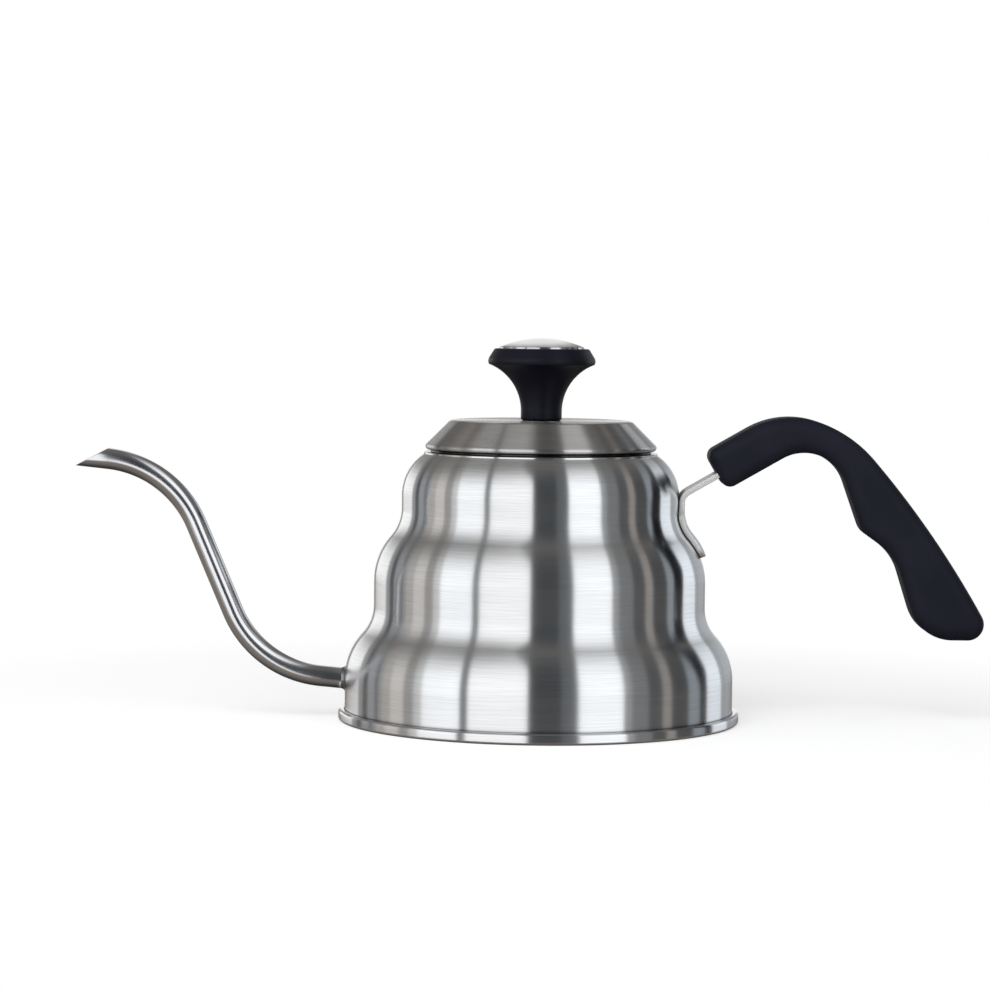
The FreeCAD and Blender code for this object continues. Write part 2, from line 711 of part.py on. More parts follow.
def knob_cap():
    """Thin domed cap that stands in the recess on top of the knob."""
    foot = knob_heights()[3] - CAP_RECESS
    radius = knob_radii()[2] - CAP_CLEARANCE
    brim = foot + CAP_RECESS + CAP_EDGE
    dome_radius = (radius ** 2 + CAP_DOME ** 2) / (2 * CAP_DOME)
    centre = rz(0, brim + CAP_DOME - dome_radius)
    inner_dome = dome_radius - CAP_SHEET
    inner_radius = radius - CAP_SHEET
    start = math.degrees(math.acos(radius / dome_radius))
    inner_start = math.degrees(math.acos(inner_radius / inner_dome))
    edges = [arc(centre, dome_radius, 90, start)]
    edges += lines(
        rz(radius, brim),
        rz(radius, foot),
        rz(inner_radius, foot),
        polar(centre, inner_dome, inner_start),
    )
    edges += [arc(centre, inner_dome, inner_start, 90)]
    return spin(closed_face(edges))


def knob_fasteners():
    """Insert in the knob's stem, and below the lid a flat washer, a spring ring and the screw."""
    under_lid = lid_top - LID_SHEET
    lock_seat = under_lid - FLAT_WASHER_THICKNESS
    head_seat = lock_seat - LOCK_WASHER_THICKNESS
    insert = threaded_insert(KNOB_INSERT_LENGTH)
    insert.translate(rz(0, lid_top))
    flat = flat_washer()
    flat.translate(rz(0, under_lid))
    lock = lock_washer()
    lock.translate(rz(0, lock_seat))
    screw = pan_screw(lid_top - head_seat + KNOB_INSERT_LENGTH - SCREW_END_GAP)
    screw.translate(rz(0, head_seat))
    return {
        "knob_insert": insert,
        "knob_flat_washer": flat,
        "knob_lock_washer": lock,
        "knob_screw": screw,
    }


def main():
    os.makedirs("parts", exist_ok=True)
    pieces = {
        "body_shell": body_shell(),
        "base_plate": base_plate(),
        "spout_tube": spout_tube(),
        "spout_weld": spout_weld(),
        "handle_bracket": handle_bracket(),
        "handle_grip": handle_grip(),
        "lid_shell": lid_shell(),
        "lid_skirt": lid_skirt(),
        "knob": knob(),
        "knob_cap": knob_cap(),
    }
    pieces.update(handle_fasteners())
    pieces.update(knob_fasteners())
    for name, shape in pieces.items():
        shape.exportStep("parts/" + name + ".step")
        box = shape.BoundBox
        print(name, shape.isValid(), len(shape.Solids), round(shape.Volume),
              [round(v, 1) for v in (box.XMin, box.XMax, box.YMin, box.YMax, box.ZMin, box.ZMax)])


main()
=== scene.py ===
import json
import math

import bmesh
import bpy
from mathutils import Matrix, Vector


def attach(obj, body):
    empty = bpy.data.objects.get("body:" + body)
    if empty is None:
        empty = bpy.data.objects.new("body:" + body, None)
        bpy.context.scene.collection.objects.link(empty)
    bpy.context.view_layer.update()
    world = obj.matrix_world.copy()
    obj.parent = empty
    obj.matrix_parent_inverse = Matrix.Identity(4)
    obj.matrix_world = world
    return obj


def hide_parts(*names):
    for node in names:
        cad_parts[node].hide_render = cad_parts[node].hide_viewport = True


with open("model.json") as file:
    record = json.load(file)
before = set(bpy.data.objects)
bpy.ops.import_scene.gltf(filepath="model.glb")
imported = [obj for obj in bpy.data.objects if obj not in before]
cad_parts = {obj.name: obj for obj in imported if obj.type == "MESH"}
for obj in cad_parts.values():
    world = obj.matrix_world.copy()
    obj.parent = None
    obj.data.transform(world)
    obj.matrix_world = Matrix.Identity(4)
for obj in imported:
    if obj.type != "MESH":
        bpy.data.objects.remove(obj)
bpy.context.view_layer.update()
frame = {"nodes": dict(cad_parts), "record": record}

# Sizes are in millimetres and turn into metres where a mesh is made.
MM = 0.001

# Body
BASE_RING_RADIUS = 72.0
BASE_RING_HEIGHT = 4.0
BODY_SHEET = 0.7
SEAM_PROJECTION = 2.3
LOWER_STEP = 10.2
UPPER_STEP = 9.7
SHOULDER_RUN = 7.8
LEDGE_WIDTH = 4.2
LOWER_WALL_TOP = 15.0
LOWER_WAVE_HEIGHT = 26.0
MIDDLE_WALL_HEIGHT = 9.0
UPPER_WAVE_HEIGHT = 26.0
UPPER_WALL_HEIGHT = 4.7
SHOULDER_HEIGHT = 14.9
NECK_STEP = 0.6
NECK_DEPTH = 6.0
NECK_BEND = 1.0
SWELL_SHARE = 0.62

# Base plate
BASE_SHEET = 0.8
CURL_RADIUS = 1.1
SEAM_CLEARANCE = 0.1
PANEL_INSET = 18.0
PANEL_RECESS = 0.8
PANEL_SLOPE_RUN = 2.0
LIP_ROUNDING = 0.4

# Spout
TUBE_RADIUS = 3.8
TUBE_WALL = 0.6
SPOUT_ROOT_HEIGHT = 14.2
SPOUT_ROOT_RISE = 5.0
SPOUT_ROOT_LENGTH = 8.8
SPOUT_LOWER_BEND = 38.0
SPOUT_RISER_RISE = 67.0
SPOUT_RISER_LENGTH = 33.8
SPOUT_UPPER_BEND = 38.7
SPOUT_TIP_RISE = 6.0
SPOUT_TIP_LENGTH = 11.7
SPOUT_TIP_BEVEL = 11.2
SPOUT_INSIDE_LENGTH = 2.0
WELD_LEG = 1.3
WELD_SINK = 0.3

# Handle bracket
BRACKET_SHEET = 2.0
BRACKET_GAP = 0.05
PAD_WIDTH = 20.0
PAD_HEIGHT = 20.0
PAD_CORNER = 4.0
TANG_WIDTH = 14.0
TANG_RISE = 30.0
TANG_REACH = 14.3
TANG_INSERTION = 22.0
TANG_BEND = 4.5
BEND_ABOVE_WALL = 1.0
PAD_STRAIGHT = 1.2
PAD_NECK = 6.0

# Handle grip, drawn in the frame of the bracket's tang
GRIP_WIDTH = 20.0
GRIP_ABOVE_TANG = 9.2
GRIP_FRONT_CORNER = 3.6
GRIP_EDGE = 3.2
GRIP_CROWN_REACH = 5.2
GRIP_CROWN_DEPTH = 4.0
GRIP_FRONT_RUN = 17.9
CROWN_RADIUS = 30.5
CROWN_TURN = 49.0
BACK_RADIUS = 46.0
BACK_TURN = 30.0
PALM_RADIUS = 340.0
PALM_TURN = 11.5
HEEL_RADIUS = 5.8
HEEL_RUN = 5.6
TOE_RADIUS = 15.5
TOE_TURN = 72.5
LOWER_FINGER_RUN = 14.0
LOWER_FINGER_RADIUS = 19.3
LOWER_FINGER_TURN = 37.0
RIDGE_RUN = 6.0
RIDGE_RADIUS = 7.0
RIDGE_TURN = 35.0
UPPER_FINGER_RUN = 16.3
UPPER_FINGER_RADIUS = 15.5
SLOT_CLEARANCE = 0.15
HANDLE_SCREW_STATION = 12.0
COUNTERBORE_RADIUS = 4.8
COUNTERBORE_FLOOR = 1.6
SCREW_HOLE_RADIUS = 2.25

# Lid
LID_SHEET = 0.7
SKIRT_SHEET = 0.9
SKIRT_CLEARANCE = 0.4
SKIRT_DEPTH = 9.0
SKIRT_FLANGE = 2.2
RIM_INSET = 0.5
RIM_BEAD_RADIUS = 1.2
LIP_WIDTH = 1.6
LID_RISE = 11.5
LID_FLANK_LEAN = 45.0
LID_CORNER = 2.4
VENT_RADIUS = 1.5
VENT_OFFSET = 20.0

# Knob
KNOB_STEM_RADIUS = 7.35
KNOB_STEM_HEIGHT = 3.3
KNOB_FLARE_RUN = 11.65
KNOB_FLARE_HEIGHT = 16.8
KNOB_EDGE_HEIGHT = 2.2
KNOB_EDGE_BULGE = 0.3
KNOB_BEVEL_RUN = 2.1
KNOB_BEVEL_HEIGHT = 3.4
CAP_LAND = 1.5
CAP_RECESS = 0.8
CAP_CLEARANCE = 0.2
CAP_EDGE = 0.6
CAP_DOME = 3.2
CAP_SHEET = 0.6
INSERT_POCKET_RADIUS = 3.25
INSERT_POCKET_DEPTH = 11.05

# Rounding of edges, which is finer than the sizes above
SHELL_ROUNDING = 0.25
BASE_ROUNDING = 0.8
TUBE_ROUNDING = 0.18
BRACKET_ROUNDING = 0.35
LID_ROUNDING = 0.15
SKIRT_ROUNDING = 0.35
KNOB_ROUNDING = 1.0
CAP_ROUNDING = 0.4

# Ripples around the weld, as a share of its size
WELD_RIPPLE = 0.06
WELD_RIPPLE_COUNT = 12

# How far a cutter reaches past the faces that it cuts
CUT_OVERRUN = 4.0

# Fineness of the meshes: points around a turn or a width, and degrees between points of an arc
LATHE_STEPS = 240
KNOB_STEPS = 192
TUBE_STEPS = 72
WELD_STEPS = 96
CUTTER_STEPS = 64
FLOOR_STEPS = 96
BRACKET_COLUMNS = 16
GRIP_COLUMNS = 14
EDGE_ROWS = 3
FINE_ARC = 1.5
COARSE_ARC = 10

# Longest facet of the grip's outline, and the most that it turns from one facet to the next
GRIP_FACET = 1.5
GRIP_FACET_TURN = 4.0

# Angle from which an edge counts as sharp, and the share of an edge that a rounded corner may take
SHARP_ANGLE = 35.0
CORNER_SHARE = 0.45

# Distance within which two points count as one
SAME_PLACE = 1e-6

# Finishes: darkest and lightest shade, and roughness of the smoothest and roughest places
BODY_FINISH = dict(dark=(0.70, 0.705, 0.71), light=(0.785, 0.79, 0.795), smooth=0.19, rough=0.23)
LID_FINISH = dict(dark=(0.55, 0.535, 0.525), light=(0.64, 0.625, 0.615), smooth=0.26, rough=0.32)
BASE_FINISH = dict(dark=(0.72, 0.72, 0.73), light=(0.78, 0.78, 0.79), smooth=0.18, rough=0.23)
SPOUT_FINISH = dict(dark=(0.64, 0.64, 0.655), light=(0.73, 0.73, 0.745), smooth=0.12, rough=0.18)
CAP_FINISH = dict(dark=(0.76, 0.76, 0.77), light=(0.84, 0.84, 0.85), smooth=0.10, rough=0.16)
BRACKET_FINISH = dict(dark=(0.92, 0.92, 0.91), light=(0.97, 0.97, 0.96), smooth=0.44, rough=0.54)
WELD_FINISH = dict(dark=(0.28, 0.28, 0.29), light=(0.42, 0.42, 0.43), smooth=0.34, rough=0.46)
SCREW_FINISH = dict(dark=(0.45, 0.45, 0.45), light=(0.62, 0.62, 0.61), smooth=0.22, rough=0.35)
BRASS_FINISH = dict(dark=(0.5, 0.34, 0.12), light=(0.66, 0.48, 0.2), smooth=0.25, rough=0.4)
GRIP_FINISH = dict(dark=(0.008, 0.009, 0.016), light=(0.012, 0.013, 0.022), smooth=0.52, rough=0.64)
KNOB_FINISH = dict(dark=(0.005, 0.005, 0.010), light=(0.007, 0.007, 0.014), smooth=0.34, rough=0.44)
BRACKET_METAL = 0.85
PLASTIC_SHINE = 0.16

# Fineness of the patterns in the finishes, and the part of a pattern's range that is used
BRUSH_TURNS = 3.0
BRUSH_LINES = 4200
BRUSH_CLOUDS = 28
STEEL_CLOUDS = 60
STEEL_SCRATCHES = 1800
BRASS_LINES = 900
PLASTIC_CLOUDS = 35
GRIP_GRAIN = 1500
KNOB_GRAIN = 900
NOISE_ROUGHNESS = 0.55
MIDDLE_RANGE = (0.3, 0.7)
WIDE_RANGE = (0.25, 0.75)

# Height of the fine relief, in metres
BRUSH_RELIEF = 2e-7
SCRATCH_RELIEF = 4e-7
ROUGH_RELIEF = 1e-6
BRASS_RELIEF = 2e-6
GRIP_RELIEF = 1.5e-5
KNOB_RELIEF = 3e-6

# Painted shade that darkens the steel's colour deep in joints and gaps, where little open space is
# around
JOINT_DEPTH = 3.5
JOINT_OPENING = (0.35, 0.80)
JOINT_PAINTED_SHADE = (0.07, 0.07, 0.075)
JOINT_SAMPLES = 8

# Camera, measured from the photograph
CAMERA_DISTANCE = 1145.5
CAMERA_HEIGHT = 145.8
CAMERA_SIDE = -16.3
CAMERA_PITCH = 3.25
CAMERA_ROLL = 0.58
CAMERA_LENS = 116.2
CAMERA_SENSOR = 36.0
CAMERA_NEAR = 10.0

# Brightness and coolness of the room's ceiling, backdrop and table
CEILING = 0.16
CEILING_COOL = -0.05
CEILING_COVER = 0.93
BACKDROP_TOP = 0.90
TABLE = 0.22
TABLE_COOL = -0.12
TABLE_SHADE = 0.05
TABLE_SHADE_COOL = -0.05

# Degrees of lean or facing over which the room's parts fade into each other
CARD_BLUR = 1.2
CEILING_FADE = (14, 44)
BACKDROP_TOP_FADE = (62, 74)
TABLE_FADE = (-8, -17)
TABLE_SHADE_FADE = (-20, -55)

# The cards are lower at the left end of this span than at its right end
CARD_SQUEEZE = (1.22, 0.88)
CARD_SQUEEZE_SPAN = (-70, 25)

# The front screen widens to the left as it rises
SCREEN_SPREAD = 9.0
SCREEN_SPREAD_FADE = (20, 40)

# How straight behind the object a reflection has to look to meet the white backdrop
BACKDROP_FADE = (0.97, 0.99)

# Floor and lamp
FLOOR_RADIUS = 420.0
FLOOR_LEVEL = -0.05
FLOOR_COLOUR = (0.72, 0.72, 0.72, 1)
FLOOR_GLOW = 0.51
FLOOR_FADE = (0.45, 0.75)
LAMP_SIZE = 1600.0
LAMP_WATTS = 14
LAMP_PLACE = (-300, -1300, 1200)
LAMP_AIM = (0, 0, 50)

# Radii and heights that follow from the sizes above
lower_radius = BASE_RING_RADIUS - SEAM_PROJECTION
middle_radius = lower_radius - LOWER_STEP
upper_radius = middle_radius - UPPER_STEP
ledge_radius = upper_radius - SHOULDER_RUN
mouth_radius = ledge_radius - LEDGE_WIDTH
middle_wall_base = LOWER_WALL_TOP + LOWER_WAVE_HEIGHT
middle_wall_top = middle_wall_base + MIDDLE_WALL_HEIGHT
upper_wall_base = middle_wall_top + UPPER_WAVE_HEIGHT
upper_wall_top = upper_wall_base + UPPER_WALL_HEIGHT
shoulder_top = upper_wall_top + SHOULDER_HEIGHT
ledge_height = shoulder_top + NECK_STEP
shoulder_radius = (SHOULDER_RUN ** 2 + SHOULDER_HEIGHT ** 2) / (2 * SHOULDER_RUN)
lid_top = ledge_height + LID_RISE


# Outlines in a side view, as lists of (across, up) points

def polar(centre, radius, degrees):
    angle = math.radians(degrees)
    return (centre[0] + radius * math.cos(angle), centre[1] + radius * math.sin(angle))


def arc(centre, radius, start, end, step=2.0):
    """Points along an arc, its two ends included."""
    count = max(2, math.ceil(abs(end - start) / step))
    return [polar(centre, radius, start + (end - start) * i / count) for i in range(count + 1)]


def run(start, end, count):
    """Evenly spaced points along a straight line, its two ends included."""
    return [tuple(a + (b - a) * i / count for a, b in zip(start, end)) for i in range(count + 1)]


def without_repeats(points):
    """A closed outline with no two neighbouring points in one place."""
    kept = []
    for point in points:
        if not kept or math.dist(point, kept[-1]) > SAME_PLACE:
            kept.append(point)
    if math.dist(kept[0], kept[-1]) < SAME_PLACE:
        kept.pop()
    return kept


def soften(points, radius, least_turn=20.0, spans=5, turned=True):
    """Round every corner of a closed outline that turns by more than an angle.

    Corners on the axis of a turned outline stay sharp.
    """
    points = without_repeats(points)
    rounded = []
    for i, corner in enumerate(points):
        before = Vector(points[i - 1]) - Vector(corner)
        after = Vector(points[(i + 1) % len(points)]) - Vector(corner)
        turn = math.pi - before.angle(after)
        on_axis = turned and abs(corner[0]) < SAME_PLACE
        if math.degrees(turn) < least_turn or on_axis:
            rounded.append(corner)
            continue
        reach = radius * math.tan(turn / 2)
        reach = min(reach, CORNER_SHARE * before.length, CORNER_SHARE * after.length)
        fitted = reach / math.tan(turn / 2)
        halfway = (before.normalized() + after.normalized()).normalized()
        centre = Vector(corner) + halfway * math.hypot(reach, fitted)
        start = Vector(corner) + before.normalized() * reach - centre
        end = Vector(corner) + after.normalized() * reach - centre
        start_angle = math.degrees(math.atan2(start.y, start.x))
        swing = math.degrees(math.atan2(start.x * end.y - start.y * end.x, start.dot(end)))
        rounded += arc(centre, fitted, start_angle, start_angle + swing, abs(swing) / spans)
    return without_repeats(rounded)


# Meshes

def new_object(name, mesh):
    obj = bpy.data.objects.new(name, mesh)
    bpy.context.scene.collection.objects.link(obj)
    return obj


def finish_mesh(name, points, faces):
    """A smooth-shaded object in metres from points in millimetres."""
    mesh = bpy.data.meshes.new(name)
    mesh.from_pydata([Vector(p) * MM for p in points], [], faces)
    tidy = bmesh.new()
    tidy.from_mesh(mesh)
    bmesh.ops.recalc_face_normals(tidy, faces=tidy.faces)
    tidy.to_mesh(mesh)
    tidy.free()
    shade_smooth(mesh)
    return new_object(name, mesh)


def shade_smooth(mesh):
    mesh.polygons.foreach_set("use_smooth", [True] * len(mesh.polygons))
    mesh.set_sharp_from_angle(angle=math.radians(SHARP_ANGLE))


def lathe(name, outline, steps=LATHE_STEPS):
    """A closed side-view outline turned around the vertical axis."""
    outline = without_repeats(outline)
    points = []
    rings = []
    for radius, height in outline:
        if abs(radius) < SAME_PLACE:
            rings.append([len(points)] * steps)
            points.append((0, 0, height))
            continue
        rings.append(list(range(len(points), len(points) + steps)))
        for k in range(steps):
            angle = 2 * math.pi * (k + 0.5) / steps
            points.append((radius * math.cos(angle), radius * math.sin(angle), height))
    return finish_mesh(name, points, loop_faces(rings, close_chain=True))


def ring_numbers(count, size):
    """The point numbers of equal rings that follow each other."""
    return [list(range(i * size, (i + 1) * size)) for i in range(count)]


def loop_faces(rings, close_chain):
    """Faces between neighbouring rings of points, which may meet in one point."""
    faces = []
    pairs = list(zip(rings, rings[1:]))
    if close_chain:
        pairs.append((rings[-1], rings[0]))
    for lower, upper in pairs:
        count = len(lower)
        for k in range(count):
            n = (k + 1) % count
            corners = [lower[k], lower[n], upper[n], upper[k]]
            unique = list(dict.fromkeys(corners))
            if len(unique) > 2:
                faces.append(unique)
    return faces


def cut_away(obj, cutters):
    """Subtract closed cutter objects from an object and remove them."""
    for cutter in cutters:
        modifier = obj.modifiers.new("cut", "BOOLEAN")
        modifier.operation = "DIFFERENCE"
        modifier.solver = "EXACT"
        modifier.object = cutter
    apply_modifiers(obj)
    for cutter in cutters:
        bpy.data.objects.remove(cutter)


def apply_modifiers(obj):
    graph = bpy.context.evaluated_depsgraph_get()
    mesh = bpy.data.meshes.new_from_object(obj.evaluated_get(graph))
    obj.modifiers.clear()
    obj.data = mesh
    shade_smooth(mesh)


def soft_edges(obj, width):
    """Round the sharp edges of a mesh by a small width in millimetres."""
    modifier = obj.modifiers.new("edges", "BEVEL")
    modifier.width = width * MM
    modifier.segments = EDGE_ROWS
    modifier.limit_method = "ANGLE"
    modifier.angle_limit = math.radians(SHARP_ANGLE)
    apply_modifiers(obj)


def cylinder_cutter(name, radius, start, end, steps=CUTTER_STEPS):
    """A closed cylinder between two points in millimetres."""
    axis = (Vector(end) - Vector(start)).normalized()
    side = axis.orthogonal().normalized()
    other = axis.cross(side)
    points = []
    for centre in (Vector(start), Vector(end)):
        for k in range(steps):
            angle = 2 * math.pi * k / steps
            points.append(centre + (side * math.cos(angle) + other * math.sin(angle)) * radius)
    rings = ring_numbers(2, steps)
    faces = loop_faces(rings, close_chain=False) + [rings[0][::-1], rings[1]]
    return finish_mesh(name, points, faces)


def stand_in(obj, node, material):
    """Show an object in place of a CAD node, on that node's body."""
    obj.data.materials.clear()
    obj.data.materials.append(material)
    bodies = frame["record"]["behaviour"]["bodies"]
    body = next(name for name, nodes in bodies.items() if node in nodes)
    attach(obj, body)
    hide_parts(node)


# Body and base

def wave(outer, inner, base, height, inset):
    """Two tangent arcs that lead a wall inwards: a swell, then a hollow."""
    turn = 2 * math.degrees(math.atan((outer - inner) / height))
    total = height / math.sin(math.radians(turn))
    swell = total * SWELL_SHARE
    hollow = total - swell
    points = arc((outer - swell, base), swell - inset, 0, turn, FINE_ARC)
    centre = (inner + hollow, base + height)
    return points + arc(centre, hollow + inset, 180 + turn, 180, FINE_ARC)[1:]


def wall_points(inset, base, end_height):
    """The body's side view from a base height up to the shoulder's end, set in by a distance."""
    lower = lower_radius - inset
    points = run((lower, base), (lower, LOWER_WALL_TOP), count=6)[:-1]
    points += wave(lower_radius, middle_radius, LOWER_WALL_TOP, LOWER_WAVE_HEIGHT, inset)
    points += wave(middle_radius, upper_radius, middle_wall_top, UPPER_WAVE_HEIGHT, inset)
    radius = shoulder_radius - inset
    end = math.degrees(math.asin((end_height - upper_wall_top) / radius))
    return points + arc((upper_radius - shoulder_radius, upper_wall_top), radius, 0, end, FINE_ARC)


def body_radius(height):
    """The radius of the body's outside at a height."""
    points = wall_points(0, 0, shoulder_top)
    for low, high in zip(points, points[1:]):
        if low[1] <= height <= high[1] and high[1] > low[1]:
            return low[0] + (high[0] - low[0]) * (height - low[1]) / (high[1] - low[1])
    return points[-1][0]


def neck_points():
    underside = ledge_height - BODY_SHEET
    neck_base = ledge_height - NECK_DEPTH
    bend = arc((mouth_radius + NECK_BEND, ledge_height - NECK_BEND), NECK_BEND, 90, 180, COARSE_ARC)
    top = [(ledge_radius, ledge_height)]
    hanging = [(mouth_radius, neck_base), (mouth_radius + BODY_SHEET, neck_base)]
    return top + bend + hanging + [(mouth_radius + BODY_SHEET, underside)]


def body_shell(material):
    flange_top = BASE_SHEET + BODY_SHEET
    flange_edge = BASE_RING_RADIUS - CURL_RADIUS - SEAM_CLEARANCE
    outside = wall_points(0, flange_top, shoulder_top)
    inside = wall_points(BODY_SHEET, BASE_SHEET, ledge_height - BODY_SHEET)
    flange = [(flange_edge, BASE_SHEET), (flange_edge, flange_top)]
    outline = soften(outside + neck_points() + inside[::-1] + flange, SHELL_ROUNDING)
    shell = lathe("kettle_body", outline)
    root = spout_root()
    reach = spout_direction(SPOUT_ROOT_RISE) * (BODY_SHEET + CUT_OVERRUN)
    hole = cylinder_cutter("spout_hole", TUBE_RADIUS - TUBE_WALL / 2, root - reach, root + reach)
    cut_away(shell, [hole])
    stand_in(shell, "body_shell", material)


def base_plate(material):
    panel_edge = lower_radius - PANEL_INSET
    slope_end = panel_edge + PANEL_SLOPE_RUN
    curl = BASE_RING_RADIUS - CURL_RADIUS
    lip = lower_radius + SEAM_CLEARANCE
    low = (curl, CURL_RADIUS)
    high = (curl, BASE_RING_HEIGHT - CURL_RADIUS)
    inner = CURL_RADIUS - BASE_SHEET
    outside = [(0, PANEL_RECESS), (panel_edge, PANEL_RECESS), (slope_end, 0)]
    outside += arc(low, CURL_RADIUS, -90, 0, step=6) + arc(high, CURL_RADIUS, 0, 90, step=6)
    lip_centre = (lip + LIP_ROUNDING, BASE_RING_HEIGHT - LIP_ROUNDING)
    lip_edge = arc(lip_centre, LIP_ROUNDING, 90, 180, COARSE_ARC)
    inside = [(lip, BASE_RING_HEIGHT - BASE_SHEET)]
    inside += arc(high, inner, 90, 0, COARSE_ARC) + arc(low, inner, 0, -90, COARSE_ARC)
    panel_top = PANEL_RECESS + BASE_SHEET
    inside += [(slope_end, BASE_SHEET), (panel_edge, panel_top), (0, panel_top)]
    outline = soften(outside + lip_edge + inside, BASE_ROUNDING, least_turn=15)
    plate = lathe("kettle_base", outline)
    stand_in(plate, "base_plate", material)


# Spout

def spout_direction(rise):
    angle = math.radians(rise)
    return Vector((-math.cos(angle), 0, math.sin(angle)))


def spout_root():
    """The place where the spout's centre line meets the wall."""
    return Vector((-lower_radius, 0, SPOUT_ROOT_HEIGHT))


def spout_stations():
    """Points of the spout's centre line with the rise of the tube at each."""
    heading = spout_direction(SPOUT_ROOT_RISE)
    start = spout_root() - heading * (BODY_SHEET + SPOUT_INSIDE_LENGTH)
    length = SPOUT_ROOT_LENGTH + BODY_SHEET + SPOUT_INSIDE_LENGTH
    stations = [(start, SPOUT_ROOT_RISE), (start + heading * length, SPOUT_ROOT_RISE)]
    stations += spout_bend(stations[-1][0], SPOUT_ROOT_RISE, SPOUT_RISER_RISE, SPOUT_LOWER_BEND)
    riser_top = stations[-1][0] + spout_direction(SPOUT_RISER_RISE) * SPOUT_RISER_LENGTH
    stations.append((riser_top, SPOUT_RISER_RISE))
    stations += spout_bend(riser_top, SPOUT_RISER_RISE, SPOUT_TIP_RISE, SPOUT_UPPER_BEND)
    return stations


def spout_bend(start, start_rise, end_rise, radius):
    side = math.copysign(90, end_rise - start_rise)
    centre = start + spout_direction(start_rise + side) * radius
    count = math.ceil(abs(end_rise - start_rise) / FINE_ARC)
    rises = [start_rise + (end_rise - start_rise) * i / count for i in range(1, count + 1)]
    return [(centre - spout_direction(rise + side) * radius, rise) for rise in rises]


def spout_ring(centre, rise, radius, steps, slide=None):
    """A ring of points square to the tube; slide gives how far each point moves along it."""
    up = spout_direction(rise - 90) * -1
    heading = spout_direction(rise)
    ring = []
    for k in range(steps):
        angle = 2 * math.pi * k / steps
        lift = radius * math.sin(angle)
        point = centre + Vector((0, radius * math.cos(angle), 0)) + up * lift
        ring.append(point + heading * slide(lift) if slide else point)
    return ring


def spout_tube(material, steps=TUBE_STEPS):
    """A bent tube, outside and inside, whose end is cut at a slant."""
    def tip_slide(lift):
        return SPOUT_TIP_LENGTH - SPOUT_TIP_BEVEL * (lift + TUBE_RADIUS) / (2 * TUBE_RADIUS)

    stations = spout_stations()
    tip_centre, tip_rise = stations[-1]
    rings = []
    for radius, order in ((TUBE_RADIUS, 1), (TUBE_RADIUS - TUBE_WALL, -1)):
        side = [spout_ring(centre, rise, radius, steps) for centre, rise in stations]
        side.append(spout_ring(tip_centre, tip_rise, radius, steps, tip_slide))
        rings += side[::order]
    points = [p for ring in rings for p in ring]
    faces = loop_faces(ring_numbers(len(rings), steps), close_chain=True)
    tube = finish_mesh("kettle_spout", points, faces)
    soft_edges(tube, TUBE_ROUNDING)
    stand_in(tube, "spout_tube", material)


def spout_weld(material, steps=WELD_STEPS):
    """A hollow fillet of weld metal between the tube and the wall, with faint ripples."""
    heading = spout_direction(SPOUT_ROOT_RISE)
    up = spout_direction(SPOUT_ROOT_RISE - 90) * -1
    root = spout_root()
    fillet = arc((TUBE_RADIUS + WELD_LEG, WELD_LEG), WELD_LEG, 270, 180, step=15)
    section = [(TUBE_RADIUS + WELD_LEG, -WELD_SINK)] + fillet
    section += [(TUBE_RADIUS - WELD_SINK, WELD_LEG), (TUBE_RADIUS - WELD_SINK, -WELD_SINK)]
    points = []
    for radius, along in section:
        for k in range(steps):
            angle = 2 * math.pi * k / steps
            ripple = 1 + WELD_RIPPLE * math.sin(WELD_RIPPLE_COUNT * angle) if along > 0 else 1
            base = root + Vector((0, radius * math.cos(angle), 0)) + up * radius * math.sin(angle)
            wall = -math.sqrt(body_radius(base.z) ** 2 - base.y ** 2)
            to_wall = (wall - base.x) / heading.x
            points.append(base + heading * (to_wall + along * ripple))
    faces = loop_faces(ring_numbers(len(section), steps), close_chain=True)
    weld = finish_mesh("kettle_spout_weld", points, faces)
    stand_in(weld, "spout_weld", material)


# Handle

def bend_corner():
    return (upper_radius + BRACKET_GAP + BRACKET_SHEET / 2, upper_wall_top + BEND_ABOVE_WALL)


def tang_entry():
    return polar(bend_corner(), TANG_REACH, TANG_RISE)


def bracket_sides():
    """Matching points of the bracket's two faces in side view, from its foot to its end."""
    corner = bend_corner()
    half = BRACKET_SHEET / 2
    bend_run = TANG_BEND * math.tan(math.radians((90 - TANG_RISE) / 2))
    pad_top = corner[1] - bend_run
    near = wall_points(-BRACKET_GAP, BASE_RING_HEIGHT, shoulder_top)
    far = wall_points(-BRACKET_GAP - BRACKET_SHEET, BASE_RING_HEIGHT, shoulder_top)
    straight_base = pad_top - PAD_STRAIGHT
    lowest = pad_top - PAD_HEIGHT
    highest = straight_base - BRACKET_SHEET / 10
    pad = [(a, b) for a, b in zip(near, far) if lowest <= a[1] < highest]
    pad += [((corner[0] - half, z), (corner[0] + half, z)) for z in (straight_base, pad_top)]
    centre = (corner[0] + TANG_BEND, pad_top)
    normal = 90 + TANG_RISE
    outer = arc(centre, TANG_BEND + half, 180, normal, step=5)[1:]
    inner = arc(centre, TANG_BEND - half, 180, normal, step=5)[1:]
    bend = list(zip(outer, inner))
    end = polar(corner, TANG_REACH + TANG_INSERTION, TANG_RISE)
    upper = run(outer[-1], polar(end, half, normal), count=8)[1:]
    lower = run(inner[-1], polar(end, -half, normal), count=8)[1:]
    return pad, bend, list(zip(upper, lower))


def ease(value):
    """A smooth step from 0 to 1."""
    value = min(1.0, max(0.0, value))
    return value * value * (3 - 2 * value)


